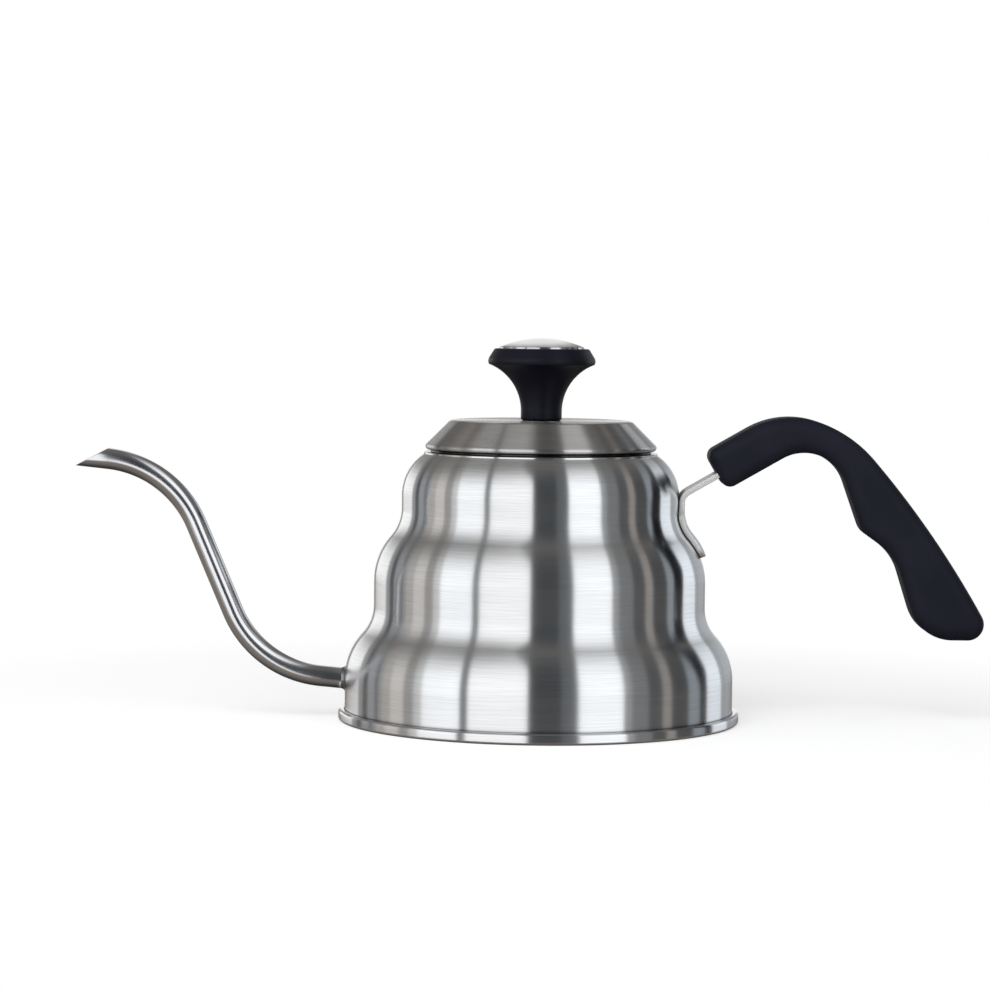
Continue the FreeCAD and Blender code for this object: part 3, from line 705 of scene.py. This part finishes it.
def bracket_half_width(from_foot, from_neck):
    """Half the strip's width, rounded off at the foot and narrowing to the tang at the neck."""
    narrowing = ease(from_neck / PAD_NECK)
    half_width = PAD_WIDTH / 2 + (TANG_WIDTH - PAD_WIDTH) / 2 * narrowing
    if from_foot < PAD_CORNER:
        half_width -= PAD_CORNER - math.sqrt(PAD_CORNER ** 2 - (PAD_CORNER - from_foot) ** 2)
    return half_width


def handle_bracket(material, columns=BRACKET_COLUMNS):
    """A pressed strip that follows the body, narrows into a tang and bends out to the grip."""
    pad, bend, tang = bracket_sides()
    foot = pad[0][0][1]
    neck = pad[-1][0][1] - PAD_NECK
    rings = []
    for number, (near, far) in enumerate(pad + bend + tang):
        half_width = bracket_half_width(near[1] - foot, near[1] - neck)
        in_bend = max(0, number - len(pad) + 1) / len(bend)
        curl = 1 - ease(in_bend)
        ring = []
        for face, order in ((near, 1), (far, -1)):
            for k in range(columns + 1):
                y = half_width * (2 * k / columns - 1) * order
                sag = face[0] - math.sqrt(face[0] ** 2 - y ** 2)
                ring.append((face[0] - curl * sag, y, face[1]))
        rings.append(ring)
    size = 2 * (columns + 1)
    points = [p for ring in rings for p in ring]
    numbered = ring_numbers(len(rings), size)
    faces = loop_faces(numbered, close_chain=False)
    for ring in (numbered[0], numbered[-1]):
        for k in range(columns):
            faces.append([ring[k], ring[k + 1], ring[size - 2 - k], ring[size - 1 - k]])
    bracket = finish_mesh("kettle_handle_bracket", points, faces)
    soft_edges(bracket, BRACKET_ROUNDING)
    stand_in(bracket, "handle_bracket", material)


def grip_strokes():
    """Runs and arcs of the grip's side view, drawn clockwise from its upper front corner."""
    level = -180 - TANG_RISE
    heel_turn = level + CROWN_TURN + BACK_TURN + PALM_TURN
    finger_turn = -level - 180 + TOE_TURN - LOWER_FINGER_TURN + RIDGE_TURN
    return [
        ("run", GRIP_FRONT_RUN, 0),
        ("turn", CROWN_RADIUS, -CROWN_TURN),
        ("turn", BACK_RADIUS, -BACK_TURN),
        ("turn", PALM_RADIUS, -PALM_TURN),
        ("turn", HEEL_RADIUS, heel_turn),
        ("run", HEEL_RUN, 0),
        ("turn", TOE_RADIUS, -TOE_TURN),
        ("run", LOWER_FINGER_RUN, 0),
        ("turn", LOWER_FINGER_RADIUS, LOWER_FINGER_TURN),
        ("run", RIDGE_RUN, 0),
        ("turn", RIDGE_RADIUS, -RIDGE_TURN),
        ("run", UPPER_FINGER_RUN, 0),
        ("turn", UPPER_FINGER_RADIUS, finger_turn),
    ]


def grip_outline(inset):
    """The grip's side view in the tang's frame, drawn in by a distance."""
    points = [(inset, GRIP_ABOVE_TANG - inset)]
    heading = 0.0
    for number, (kind, size, turn) in enumerate(grip_strokes()):
        if kind == "run":
            length = size - inset if number == 0 else size
            points.append(polar(points[-1], length, heading))
            continue
        side = math.copysign(90, turn)
        radius = size + math.copysign(inset, turn)
        centre = polar(points[-1], radius, heading + side)
        step = min(GRIP_FACET_TURN, math.degrees(GRIP_FACET / size))
        points += arc(centre, radius, heading - side, heading - side + turn, step)[1:]
        heading += turn
    points.append((inset, points[-1][1]))
    corner = GRIP_FRONT_CORNER - min(inset, GRIP_EDGE)
    return soften(points, corner, least_turn=60, spans=8, turned=False)


def from_tang(point, y):
    """A point of the tang's frame as a point of the kettle."""
    entry = tang_entry()
    angle = math.radians(TANG_RISE)
    x = entry[0] + point[0] * math.cos(angle) - point[1] * math.sin(angle)
    z = entry[1] + point[0] * math.sin(angle) + point[1] * math.cos(angle)
    return Vector((x, y, z))


def grip_section(spans=GRIP_COLUMNS):
    """How far the grip's outline draws in at each place across its width."""
    half = GRIP_WIDTH / 2
    section = []
    for k in range(spans + 1):
        angle = math.pi / 2 * k / spans
        y = half - GRIP_CROWN_DEPTH * (1 - math.cos(angle))
        section.append((y, GRIP_CROWN_REACH * (1 - math.sin(angle))))
    return section + [(-y, inset) for y, inset in section[::-1]]


def grip_cutters(underside):
    """The slot for the tang and the stepped hole for the screw."""
    half = BRACKET_SHEET / 2 + SLOT_CLEARANCE
    width = TANG_WIDTH / 2 + SLOT_CLEARANCE
    depth = TANG_INSERTION + SLOT_CLEARANCE
    corners = [(x, z, y) for x in (-CUT_OVERRUN, depth) for z in (-half, half) for y in (-width, width)]
    faces = [(0, 1, 3, 2), (4, 6, 7, 5), (0, 4, 5, 1), (2, 3, 7, 6), (0, 2, 6, 4), (1, 5, 7, 3)]
    slot = finish_mesh("tang_slot", [from_tang((x, z), y) for x, z, y in corners], faces)
    seat = -half - COUNTERBORE_FLOOR
    below = from_tang((HANDLE_SCREW_STATION, underside - CUT_OVERRUN), 0)
    bore_end = from_tang((HANDLE_SCREW_STATION, seat), 0)
    hole_end = from_tang((HANDLE_SCREW_STATION, 0), 0)
    counterbore = cylinder_cutter("counterbore", COUNTERBORE_RADIUS, below, bore_end)
    hole = cylinder_cutter("screw_hole", SCREW_HOLE_RADIUS, below, hole_end)
    return [slot, counterbore, hole]


def handle_grip(material):
    underside = grip_outline(0)[-1][1]
    points = []
    rings = []
    for y, inset in grip_section():
        outline = grip_outline(inset)
        rings.append(list(range(len(points), len(points) + len(outline))))
        points += [from_tang(p, y) for p in outline]
    faces = loop_faces(rings, close_chain=False) + [rings[0][::-1], rings[-1]]
    grip = finish_mesh("kettle_grip", points, faces)
    cut_away(grip, grip_cutters(underside))
    stand_in(grip, "handle_grip", material)


# Lid

def lid_shell(material):
    bead = (ledge_radius - RIM_INSET - RIM_BEAD_RADIUS, ledge_height + SKIRT_SHEET + RIM_BEAD_RADIUS)
    flank = 90 - LID_FLANK_LEAN
    rise = lid_top - LID_CORNER - bead[1]
    lean = math.radians(flank)
    inward = (rise * math.sin(lean) - RIM_BEAD_RADIUS + LID_CORNER) / math.cos(lean)
    corner = (bead[0] - inward, lid_top - LID_CORNER)
    underside = lid_top - LID_SHEET
    lip_base = bead[1] - RIM_BEAD_RADIUS
    outside = arc(corner, LID_CORNER, 90, flank, step=3)
    outside += arc(bead, RIM_BEAD_RADIUS, flank, -90, step=6)
    lip = [(bead[0] - LIP_WIDTH, lip_base), (bead[0] - LIP_WIDTH, lip_base + LID_SHEET)]
    inside = arc(bead, RIM_BEAD_RADIUS - LID_SHEET, -90, flank, COARSE_ARC)
    inside += arc(corner, LID_CORNER - LID_SHEET, flank, 90, step=6)
    hole = [(SCREW_HOLE_RADIUS, underside), (SCREW_HOLE_RADIUS, lid_top)]
    shell = lathe("kettle_lid", soften(outside + lip + inside + hole, LID_ROUNDING))
    vents = []
    for side in (-1, 1):
        middle = Vector((0, side * VENT_OFFSET, lid_top))
        reach = Vector((0, 0, CUT_OVERRUN))
        vents.append(cylinder_cutter("vent", VENT_RADIUS, middle + reach, middle - reach))
    cut_away(shell, vents)
    stand_in(shell, "lid_shell", material)


def lid_skirt(material):
    outer = mouth_radius - SKIRT_CLEARANCE
    flange_top = ledge_height + SKIRT_SHEET
    foot = ledge_height - SKIRT_DEPTH
    outline = [
        (outer + SKIRT_FLANGE, flange_top),
        (outer + SKIRT_FLANGE, ledge_height),
        (outer, ledge_height),
        (outer, foot),
        (outer - SKIRT_SHEET, foot),
        (outer - SKIRT_SHEET, flange_top),
    ]
    stand_in(lathe("kettle_lid_skirt", soften(outline, SKIRT_ROUNDING)), "lid_skirt", material)


# Knob

def knob_heights():
    flare = lid_top + KNOB_STEM_HEIGHT
    edge = flare + KNOB_FLARE_HEIGHT
    bevel = edge + KNOB_EDGE_HEIGHT
    return flare, edge, bevel, bevel + KNOB_BEVEL_HEIGHT


def knob_radii():
    edge = KNOB_STEM_RADIUS + KNOB_FLARE_RUN
    top = edge - KNOB_BEVEL_RUN
    return edge, top, top - CAP_LAND


def knob(material):
    flare, edge, bevel, top = knob_heights()
    edge_radius, top_radius, recess = knob_radii()
    flare_radius = (KNOB_FLARE_RUN ** 2 + KNOB_FLARE_HEIGHT ** 2) / (2 * KNOB_FLARE_RUN)
    flare_turn = math.degrees(math.asin(KNOB_FLARE_HEIGHT / flare_radius))
    pocket_top = lid_top + INSERT_POCKET_DEPTH
    outline = [(INSERT_POCKET_RADIUS, lid_top), (KNOB_STEM_RADIUS, lid_top)]
    outline += arc((KNOB_STEM_RADIUS + flare_radius, flare), flare_radius, 180, 180 - flare_turn)
    outline += [(edge_radius + KNOB_EDGE_BULGE, edge + KNOB_EDGE_HEIGHT / 2), (edge_radius, bevel)]
    outline += [(top_radius, top), (recess, top), (recess, top - CAP_RECESS), (0, top - CAP_RECESS)]
    outline += [(0, pocket_top), (INSERT_POCKET_RADIUS, pocket_top)]
    outline = soften(outline, KNOB_ROUNDING, least_turn=12)
    stand_in(lathe("kettle_knob", outline, KNOB_STEPS), "knob", material)


def knob_cap(material):
    foot = knob_heights()[3] - CAP_RECESS
    radius = knob_radii()[2] - CAP_CLEARANCE
    brim = foot + CAP_RECESS + CAP_EDGE
    dome = (radius ** 2 + CAP_DOME ** 2) / (2 * CAP_DOME)
    centre = (0, brim + CAP_DOME - dome)
    start = math.degrees(math.acos(radius / dome))
    inner_start = math.degrees(math.acos((radius - CAP_SHEET) / (dome - CAP_SHEET)))
    outline = arc(centre, dome, 90, start, step=1) + [(radius, foot), (radius - CAP_SHEET, foot)]
    outline += arc(centre, dome - CAP_SHEET, inner_start, 90, step=2)
    outline[0] = (0, outline[0][1])
    outline[-1] = (0, outline[-1][1])
    outline = soften(outline, CAP_ROUNDING)
    stand_in(lathe("kettle_knob_cap", outline, KNOB_STEPS), "knob_cap", material)


# Materials

class Nodes:
    """Short ways to add and join the nodes of one material or world."""

    def __init__(self, owner):
        owner.use_nodes = True
        self.tree = owner.node_tree
        self.tree.nodes.clear()

    def add(self, kind, **settings):
        node = self.tree.nodes.new(kind)
        for name, value in settings.items():
            setattr(node, name, value)
        return node

    def link(self, output, target):
        self.tree.links.new(output, target)

    def feed(self, value, target):
        """Join an output to a socket, or set the socket to a plain value."""
        if isinstance(value, bpy.types.NodeSocket):
            self.link(value, target)
        else:
            target.default_value = value

    def math(self, operation, *values):
        node = self.add("ShaderNodeMath", operation=operation)
        for value, target in zip(values, node.inputs):
            self.feed(value, target)
        return node.outputs[0]

    def ramp(self, value, low, high, to_low=0.0, to_high=1.0):
        """A smooth step from one value to another as the input goes from low to high."""
        node = self.add("ShaderNodeMapRange", interpolation_type="SMOOTHSTEP")
        node.inputs["From Min"].default_value = low
        node.inputs["From Max"].default_value = high
        node.inputs["To Min"].default_value = to_low
        node.inputs["To Max"].default_value = to_high
        self.link(value, node.inputs["Value"])
        return node.outputs["Result"]

    def noise(self, vector, scale, detail):
        node = self.add("ShaderNodeTexNoise")
        node.inputs["Scale"].default_value = scale
        node.inputs["Detail"].default_value = detail
        node.inputs["Roughness"].default_value = NOISE_ROUGHNESS
        self.link(vector, node.inputs["Vector"])
        return node.outputs["Fac"]

    def vector(self, x, y, z):
        node = self.add("ShaderNodeCombineXYZ")
        for value, target in zip((x, y, z), node.inputs):
            self.feed(value, target)
        return node.outputs[0]

    def blend_colour(self, factor, first, second):
        node = self.add("ShaderNodeMix", data_type="RGBA")
        self.feed(factor, node.inputs[0])
        for colour, target in ((first, node.inputs[6]), (second, node.inputs[7])):
            self.feed((*colour, 1) if isinstance(colour, tuple) else colour, target)
        return node.outputs[2]

    def bump(self, height, distance):
        node = self.add("ShaderNodeBump")
        node.inputs["Strength"].default_value = 1.0
        node.inputs["Distance"].default_value = distance
        self.link(height, node.inputs["Height"])
        return node.outputs["Normal"]

    def length(self, x, y):
        squares = self.math("ADD", self.math("POWER", x, 2.0), self.math("POWER", y, 2.0))
        return self.math("SQRT", squares)

    def place(self):
        return self.add("ShaderNodeTexCoord").outputs["Object"]

    def split(self, vector):
        node = self.add("ShaderNodeSeparateXYZ")
        self.link(vector, node.inputs[0])
        return node.outputs

    def mix(self, factor, first, second):
        """One shader turning into another."""
        node = self.add("ShaderNodeMixShader")
        for value, target in zip((factor, first, second), node.inputs):
            self.link(value, target)
        return node.outputs[0]

    def around_axis(self, turns, fineness):
        """Coordinates that change slowly around the vertical axis and quickly across it."""
        x, y, z = self.split(self.place())
        angle = self.math("ARCTAN2", y, x)
        radius = self.length(x, y)
        return self.vector(
            self.math("MULTIPLY", angle, turns),
            self.math("MULTIPLY", z, fineness),
            self.math("MULTIPLY", radius, fineness),
        )

    def open_share(self):
        """How open a place is, from 0 deep in a joint to 1 out in the open; it sets where shade is
        painted into the steel's colour.
        """
        node = self.add("ShaderNodeAmbientOcclusion", samples=JOINT_SAMPLES)
        node.inputs["Distance"].default_value = JOINT_DEPTH * MM
        return self.ramp(node.outputs["AO"], *JOINT_OPENING)

    def surface(self, **values):
        shader = self.add("ShaderNodeBsdfPrincipled")
        for name, value in values.items():
            self.feed(value, shader.inputs[name.replace("_", " ").title().replace("Ior", "IOR")])
        output = self.add("ShaderNodeOutputMaterial")
        self.link(shader.outputs[0], output.inputs[0])
        return shader


def brushed_steel(name, dark, light, smooth, rough, painted_joint_shade=True):
    """Steel brushed in fine rings around the vertical axis, with shade painted into its colour deep in
    joints where asked.
    """
    material = bpy.data.materials.new(name)
    nodes = Nodes(material)
    streaks = nodes.noise(nodes.around_axis(BRUSH_TURNS, BRUSH_LINES), 1.0, detail=2.0)
    clouds = nodes.noise(nodes.place(), BRUSH_CLOUDS, detail=3.0)
    clean = nodes.blend_colour(nodes.ramp(streaks, *MIDDLE_RANGE), dark, light)
    # The base colour carries painted shade: it turns near-black deep in joints and gaps.
    shader = nodes.surface(
        base_color=nodes.blend_colour(nodes.open_share(), JOINT_PAINTED_SHADE, clean) if painted_joint_shade else clean,
        metallic=1.0,
        roughness=nodes.ramp(clouds, *MIDDLE_RANGE, smooth, rough),
        anisotropic=1.0,
        anisotropic_rotation=0.25,
        normal=nodes.bump(streaks, BRUSH_RELIEF),
    )
    tangent = nodes.add("ShaderNodeTangent", direction_type="RADIAL", axis="Z")
    nodes.link(tangent.outputs[0], shader.inputs["Tangent"])
    return material


def plain_steel(name, dark, light, smooth, rough, relief=SCRATCH_RELIEF, metal=1.0):
    """Steel with faint clouding, fine scratches that run every way, and shade painted into its colour
    deep in joints.
    """
    material = bpy.data.materials.new(name)
    nodes = Nodes(material)
    place = nodes.place()
    clouds = nodes.noise(place, STEEL_CLOUDS, detail=4.0)
    scratches = nodes.noise(place, STEEL_SCRATCHES, detail=3.0)
    clean = nodes.blend_colour(nodes.ramp(clouds, *MIDDLE_RANGE), dark, light)
    # The base colour carries painted shade: it turns near-black deep in joints and gaps.
    nodes.surface(
        base_color=nodes.blend_colour(nodes.open_share(), JOINT_PAINTED_SHADE, clean),
        metallic=metal,
        roughness=nodes.ramp(clouds, *WIDE_RANGE, smooth, rough),
        normal=nodes.bump(scratches, relief),
    )
    return material


def moulded_plastic(name, dark, light, smooth, rough, grain, relief):
    """Black moulding with a fine grain and faint uneven sheen."""
    material = bpy.data.materials.new(name)
    nodes = Nodes(material)
    place = nodes.place()
    fine = nodes.noise(place, grain, detail=2.0)
    clouds = nodes.noise(place, PLASTIC_CLOUDS, detail=3.0)
    nodes.surface(
        base_color=nodes.blend_colour(nodes.ramp(clouds, *MIDDLE_RANGE), dark, light),
        roughness=nodes.ramp(clouds, *WIDE_RANGE, smooth, rough),
        specular_ior_level=PLASTIC_SHINE,
        normal=nodes.bump(fine, relief),
    )
    return material


def turned_brass(name, dark, light, smooth, rough):
    """Brass with fine uneven tool marks."""
    material = bpy.data.materials.new(name)
    nodes = Nodes(material)
    marks = nodes.noise(nodes.place(), BRASS_LINES, detail=2.0)
    nodes.surface(
        base_color=nodes.blend_colour(marks, dark, light),
        metallic=1.0,
        roughness=nodes.ramp(marks, *MIDDLE_RANGE, smooth, rough),
        normal=nodes.bump(marks, BRASS_RELIEF),
    )
    return material


# Studio

def room_cards():
    """Lights, screens and walls around the object: from, to, brightness and coolness of each.

    Directions count in degrees from the front, where the camera stands, to the right.
    """
    return {
        "left_back_edge": (-180, -160, 0.30, 0.0),
        "left_back_wall": (-160, -133, 1.20, 0.0),
        "left_back_flag": (-133, -106, 0.38, 0.04),
        "left_back_seam": (-127, -121, 0.10, 0.06),
        "left_back_stand": (-113, -109, 0.20, 0.05),
        "left_side_wall": (-106, -98, 0.50, -0.05),
        "left_side_card": (-98, -86, 0.72, -0.04),
        "left_side_flag": (-86, -79, 0.38, -0.02),
        "left_side_fill": (-79, -73, 0.75, 0.0),
        "left_outer_light": (-73, -47, 1.40, 0.02),
        "left_light_bar": (-47, -42.5, 0.20, 0.06),
        "left_inner_light": (-42.5, -6.5, 1.32, 0.01),
        "front_screen": (-6.5, 13, 0.07, 0.08),
        "front_edge": (13, 22.5, 0.15, 0.08),
        "right_light": (22.5, 50.5, 1.38, 0.02),
        "right_light_edge": (50.5, 56, 0.36, 0.03),
        "right_side_fill": (56, 67, 0.22, 0.03),
        "right_side_flag": (67, 77, 0.10, 0.02),
        "right_side_lamp": (77, 84, 0.32, -0.06),
        "right_back_flag": (84, 98, 0.08, 0.02),
        "right_back_panel": (98, 109, 0.34, 0.10),
        "right_back_corner": (109, 116.5, 0.05, 0.10),
        "right_back_light": (116.5, 136, 1.08, 0.06),
        "right_back_bar": (136, 142, 0.45, 0.08),
        "right_back_wall": (142, 180, 0.50, 0.05),
    }


def cooled(brightness, cool):
    """A grey with a little more blue than red, or more red where the coolness is below zero."""
    return (brightness * (1 - cool), brightness, brightness * (1 + cool))


def room_colour(nodes):
    """The room's colour in each direction: arched cards, a dark ceiling and a dark table.

    The cards arch over the object from front to back, so that a surface that faces the same way
    around the axis mirrors the same card whether it stands upright or leans.
    """
    x, y, z = nodes.split(nodes.add("ShaderNodeTexCoord").outputs["Generated"])
    ahead = nodes.math("SUBTRACT", 1.0, y)
    facing = nodes.math("MULTIPLY", nodes.math("ARCTAN2", x, ahead), 360 / math.pi)
    level = nodes.length(x, ahead)
    lean = nodes.math("MULTIPLY", nodes.math("ARCTAN2", z, level), 180 / math.pi)
    height = nodes.math("MULTIPLY", lean, nodes.ramp(facing, *CARD_SQUEEZE_SPAN, *CARD_SQUEEZE))
    spread = nodes.ramp(lean, *SCREEN_SPREAD_FADE, 0.0, SCREEN_SPREAD)
    colour = cooled(CEILING, 0.0)
    for name, (low, high, brightness, cool) in room_cards().items():
        near_edge = nodes.math("ADD", facing, spread) if name == "front_screen" else facing
        rising = nodes.ramp(near_edge, low - CARD_BLUR, low + CARD_BLUR)
        falling = nodes.ramp(facing, high - CARD_BLUR, high + CARD_BLUR)
        inside = nodes.math("SUBTRACT", rising, falling)
        colour = nodes.blend_colour(inside, colour, cooled(brightness, cool))
    above = nodes.ramp(height, *CEILING_FADE, 0.0, CEILING_COVER)
    colour = nodes.blend_colour(above, colour, cooled(CEILING, CEILING_COOL))
    top = nodes.ramp(lean, *BACKDROP_TOP_FADE)
    colour = nodes.blend_colour(top, colour, cooled(BACKDROP_TOP, 0.0))
    depth = nodes.ramp(lean, *TABLE_SHADE_FADE)
    shade = cooled(TABLE_SHADE, TABLE_SHADE_COOL)
    table = nodes.blend_colour(depth, cooled(TABLE, TABLE_COOL), shade)
    colour = nodes.blend_colour(nodes.ramp(height, *TABLE_FADE), colour, table)
    return colour, nodes.ramp(y, *BACKDROP_FADE)


def world_light():
    """The room as the steel mirrors it, seen white by the camera and straight behind the object."""
    world = bpy.data.worlds.new("studio")
    bpy.context.scene.world = world
    nodes = Nodes(world)
    colour, backdrop = room_colour(nodes)
    path = nodes.add("ShaderNodeLightPath")
    glossy = path.outputs["Is Glossy Ray"]
    transmitted = path.outputs["Is Transmission Ray"]
    mirrored = nodes.math("MAXIMUM", glossy, transmitted)
    behind = nodes.math("MULTIPLY", mirrored, backdrop)
    white = nodes.math("MAXIMUM", path.outputs["Is Camera Ray"], behind)
    background = nodes.add("ShaderNodeBackground")
    nodes.link(nodes.blend_colour(white, colour, (1.0, 1.0, 1.0)), background.inputs["Color"])
    output = nodes.add("ShaderNodeOutputWorld")
    nodes.link(background.outputs[0], output.inputs[0])


def floor_finish():
    """Pale matt that turns white farther out to the camera, and is clear from below."""
    material = bpy.data.materials.new("pale_floor")
    nodes = Nodes(material)
    matt = nodes.add("ShaderNodeBsdfDiffuse")
    matt.inputs["Color"].default_value = FLOOR_COLOUR
    glow = nodes.add("ShaderNodeEmission")
    glow.inputs["Strength"].default_value = FLOOR_GLOW
    near = nodes.add("ShaderNodeAddShader")
    nodes.link(matt.outputs[0], near.inputs[0])
    nodes.link(glow.outputs[0], near.inputs[1])
    far = nodes.add("ShaderNodeEmission")
    distance = nodes.add("ShaderNodeVectorMath", operation="LENGTH")
    nodes.link(nodes.place(), distance.inputs[0])
    reach = [share * FLOOR_RADIUS * MM for share in FLOOR_FADE]
    fade = nodes.ramp(distance.outputs["Value"], *reach)
    seen = nodes.mix(fade, near.outputs[0], far.outputs[0])
    to_camera = nodes.add("ShaderNodeLightPath").outputs["Is Camera Ray"]
    upper = nodes.mix(to_camera, matt.outputs[0], seen)
    from_below = nodes.add("ShaderNodeNewGeometry").outputs["Backfacing"]
    clear = nodes.add("ShaderNodeBsdfTransparent").outputs[0]
    output = nodes.add("ShaderNodeOutputMaterial")
    nodes.link(nodes.mix(from_below, upper, clear), output.inputs[0])
    return material


def floor(steps=FLOOR_STEPS):
    """A round floor that keeps the object's shadow."""
    rim = [polar((0, 0), FLOOR_RADIUS, 360 * k / steps) + (FLOOR_LEVEL,) for k in range(steps)]
    faces = [(0, k + 1, (k + 1) % steps + 1) for k in range(steps)]
    plane = finish_mesh("floor", [(0, 0, FLOOR_LEVEL)] + rim, faces)
    if plane.data.polygons[0].normal.z < 0:
        plane.data.flip_normals()
    plane.data.materials.append(floor_finish())
    plane.visible_glossy = False


def soft_lamp():
    """A wide lamp high in front that gives matt surfaces their level."""
    light = bpy.data.lights.new("overhead", "AREA")
    light.shape = "DISK"
    light.size = LAMP_SIZE * MM
    light.energy = LAMP_WATTS
    lamp = bpy.data.objects.new("overhead", light)
    lamp.location = Vector(LAMP_PLACE) * MM
    aim = Vector(LAMP_AIM) - Vector(LAMP_PLACE)
    lamp.rotation_euler = aim.to_track_quat("-Z", "Y").to_euler()
    lamp.visible_glossy = False
    bpy.context.scene.collection.objects.link(lamp)


def camera():
    data = bpy.data.cameras.new("camera")
    data.sensor_width = CAMERA_SENSOR
    data.lens = CAMERA_LENS
    data.clip_start = CAMERA_NEAR * MM
    obj = new_object("camera", data)
    turn = Matrix.Rotation(math.radians(90 - CAMERA_PITCH), 4, "X")
    roll = Matrix.Rotation(math.radians(CAMERA_ROLL), 4, "Z")
    place = Matrix.Translation(Vector((CAMERA_SIDE, -CAMERA_DISTANCE, CAMERA_HEIGHT)) * MM)
    obj.matrix_world = place @ turn @ roll
    bpy.context.scene.camera = obj


def dress_fasteners(steel, brass):
    """Give the small CAD pieces that stay their own finish."""
    for name, obj in frame["nodes"].items():
        if name.endswith(("screw", "washer")):
            finish = steel
        elif name.endswith("insert"):
            finish = brass
        else:
            continue
        obj.data.materials.clear()
        obj.data.materials.append(finish)


def build():
    lid_steel = brushed_steel("lid_steel", **LID_FINISH)
    bracket_steel = plain_steel("bracket_steel", **BRACKET_FINISH, metal=BRACKET_METAL)
    screw_steel = plain_steel("screw_steel", **SCREW_FINISH, relief=ROUGH_RELIEF)
    grip_black = moulded_plastic("grip_black", **GRIP_FINISH, grain=GRIP_GRAIN, relief=GRIP_RELIEF)
    knob_black = moulded_plastic("knob_black", **KNOB_FINISH, grain=KNOB_GRAIN, relief=KNOB_RELIEF)
    body_shell(brushed_steel("body_steel", **BODY_FINISH))
    # The base's colour gets no painted shade in its joints.
    base_plate(brushed_steel("base_steel", **BASE_FINISH, painted_joint_shade=False))
    spout_tube(plain_steel("polished_steel", **SPOUT_FINISH))
    spout_weld(plain_steel("weld_steel", **WELD_FINISH, relief=ROUGH_RELIEF))
    handle_bracket(bracket_steel)
    handle_grip(grip_black)
    lid_shell(lid_steel)
    lid_skirt(lid_steel)
    knob(knob_black)
    knob_cap(plain_steel("cap_steel", **CAP_FINISH))
    dress_fasteners(screw_steel, turned_brass("insert_brass", **BRASS_FINISH))
    world_light()
    floor()
    soft_lamp()
    camera()
    bpy.context.scene.view_settings.view_transform = "Standard"


build()
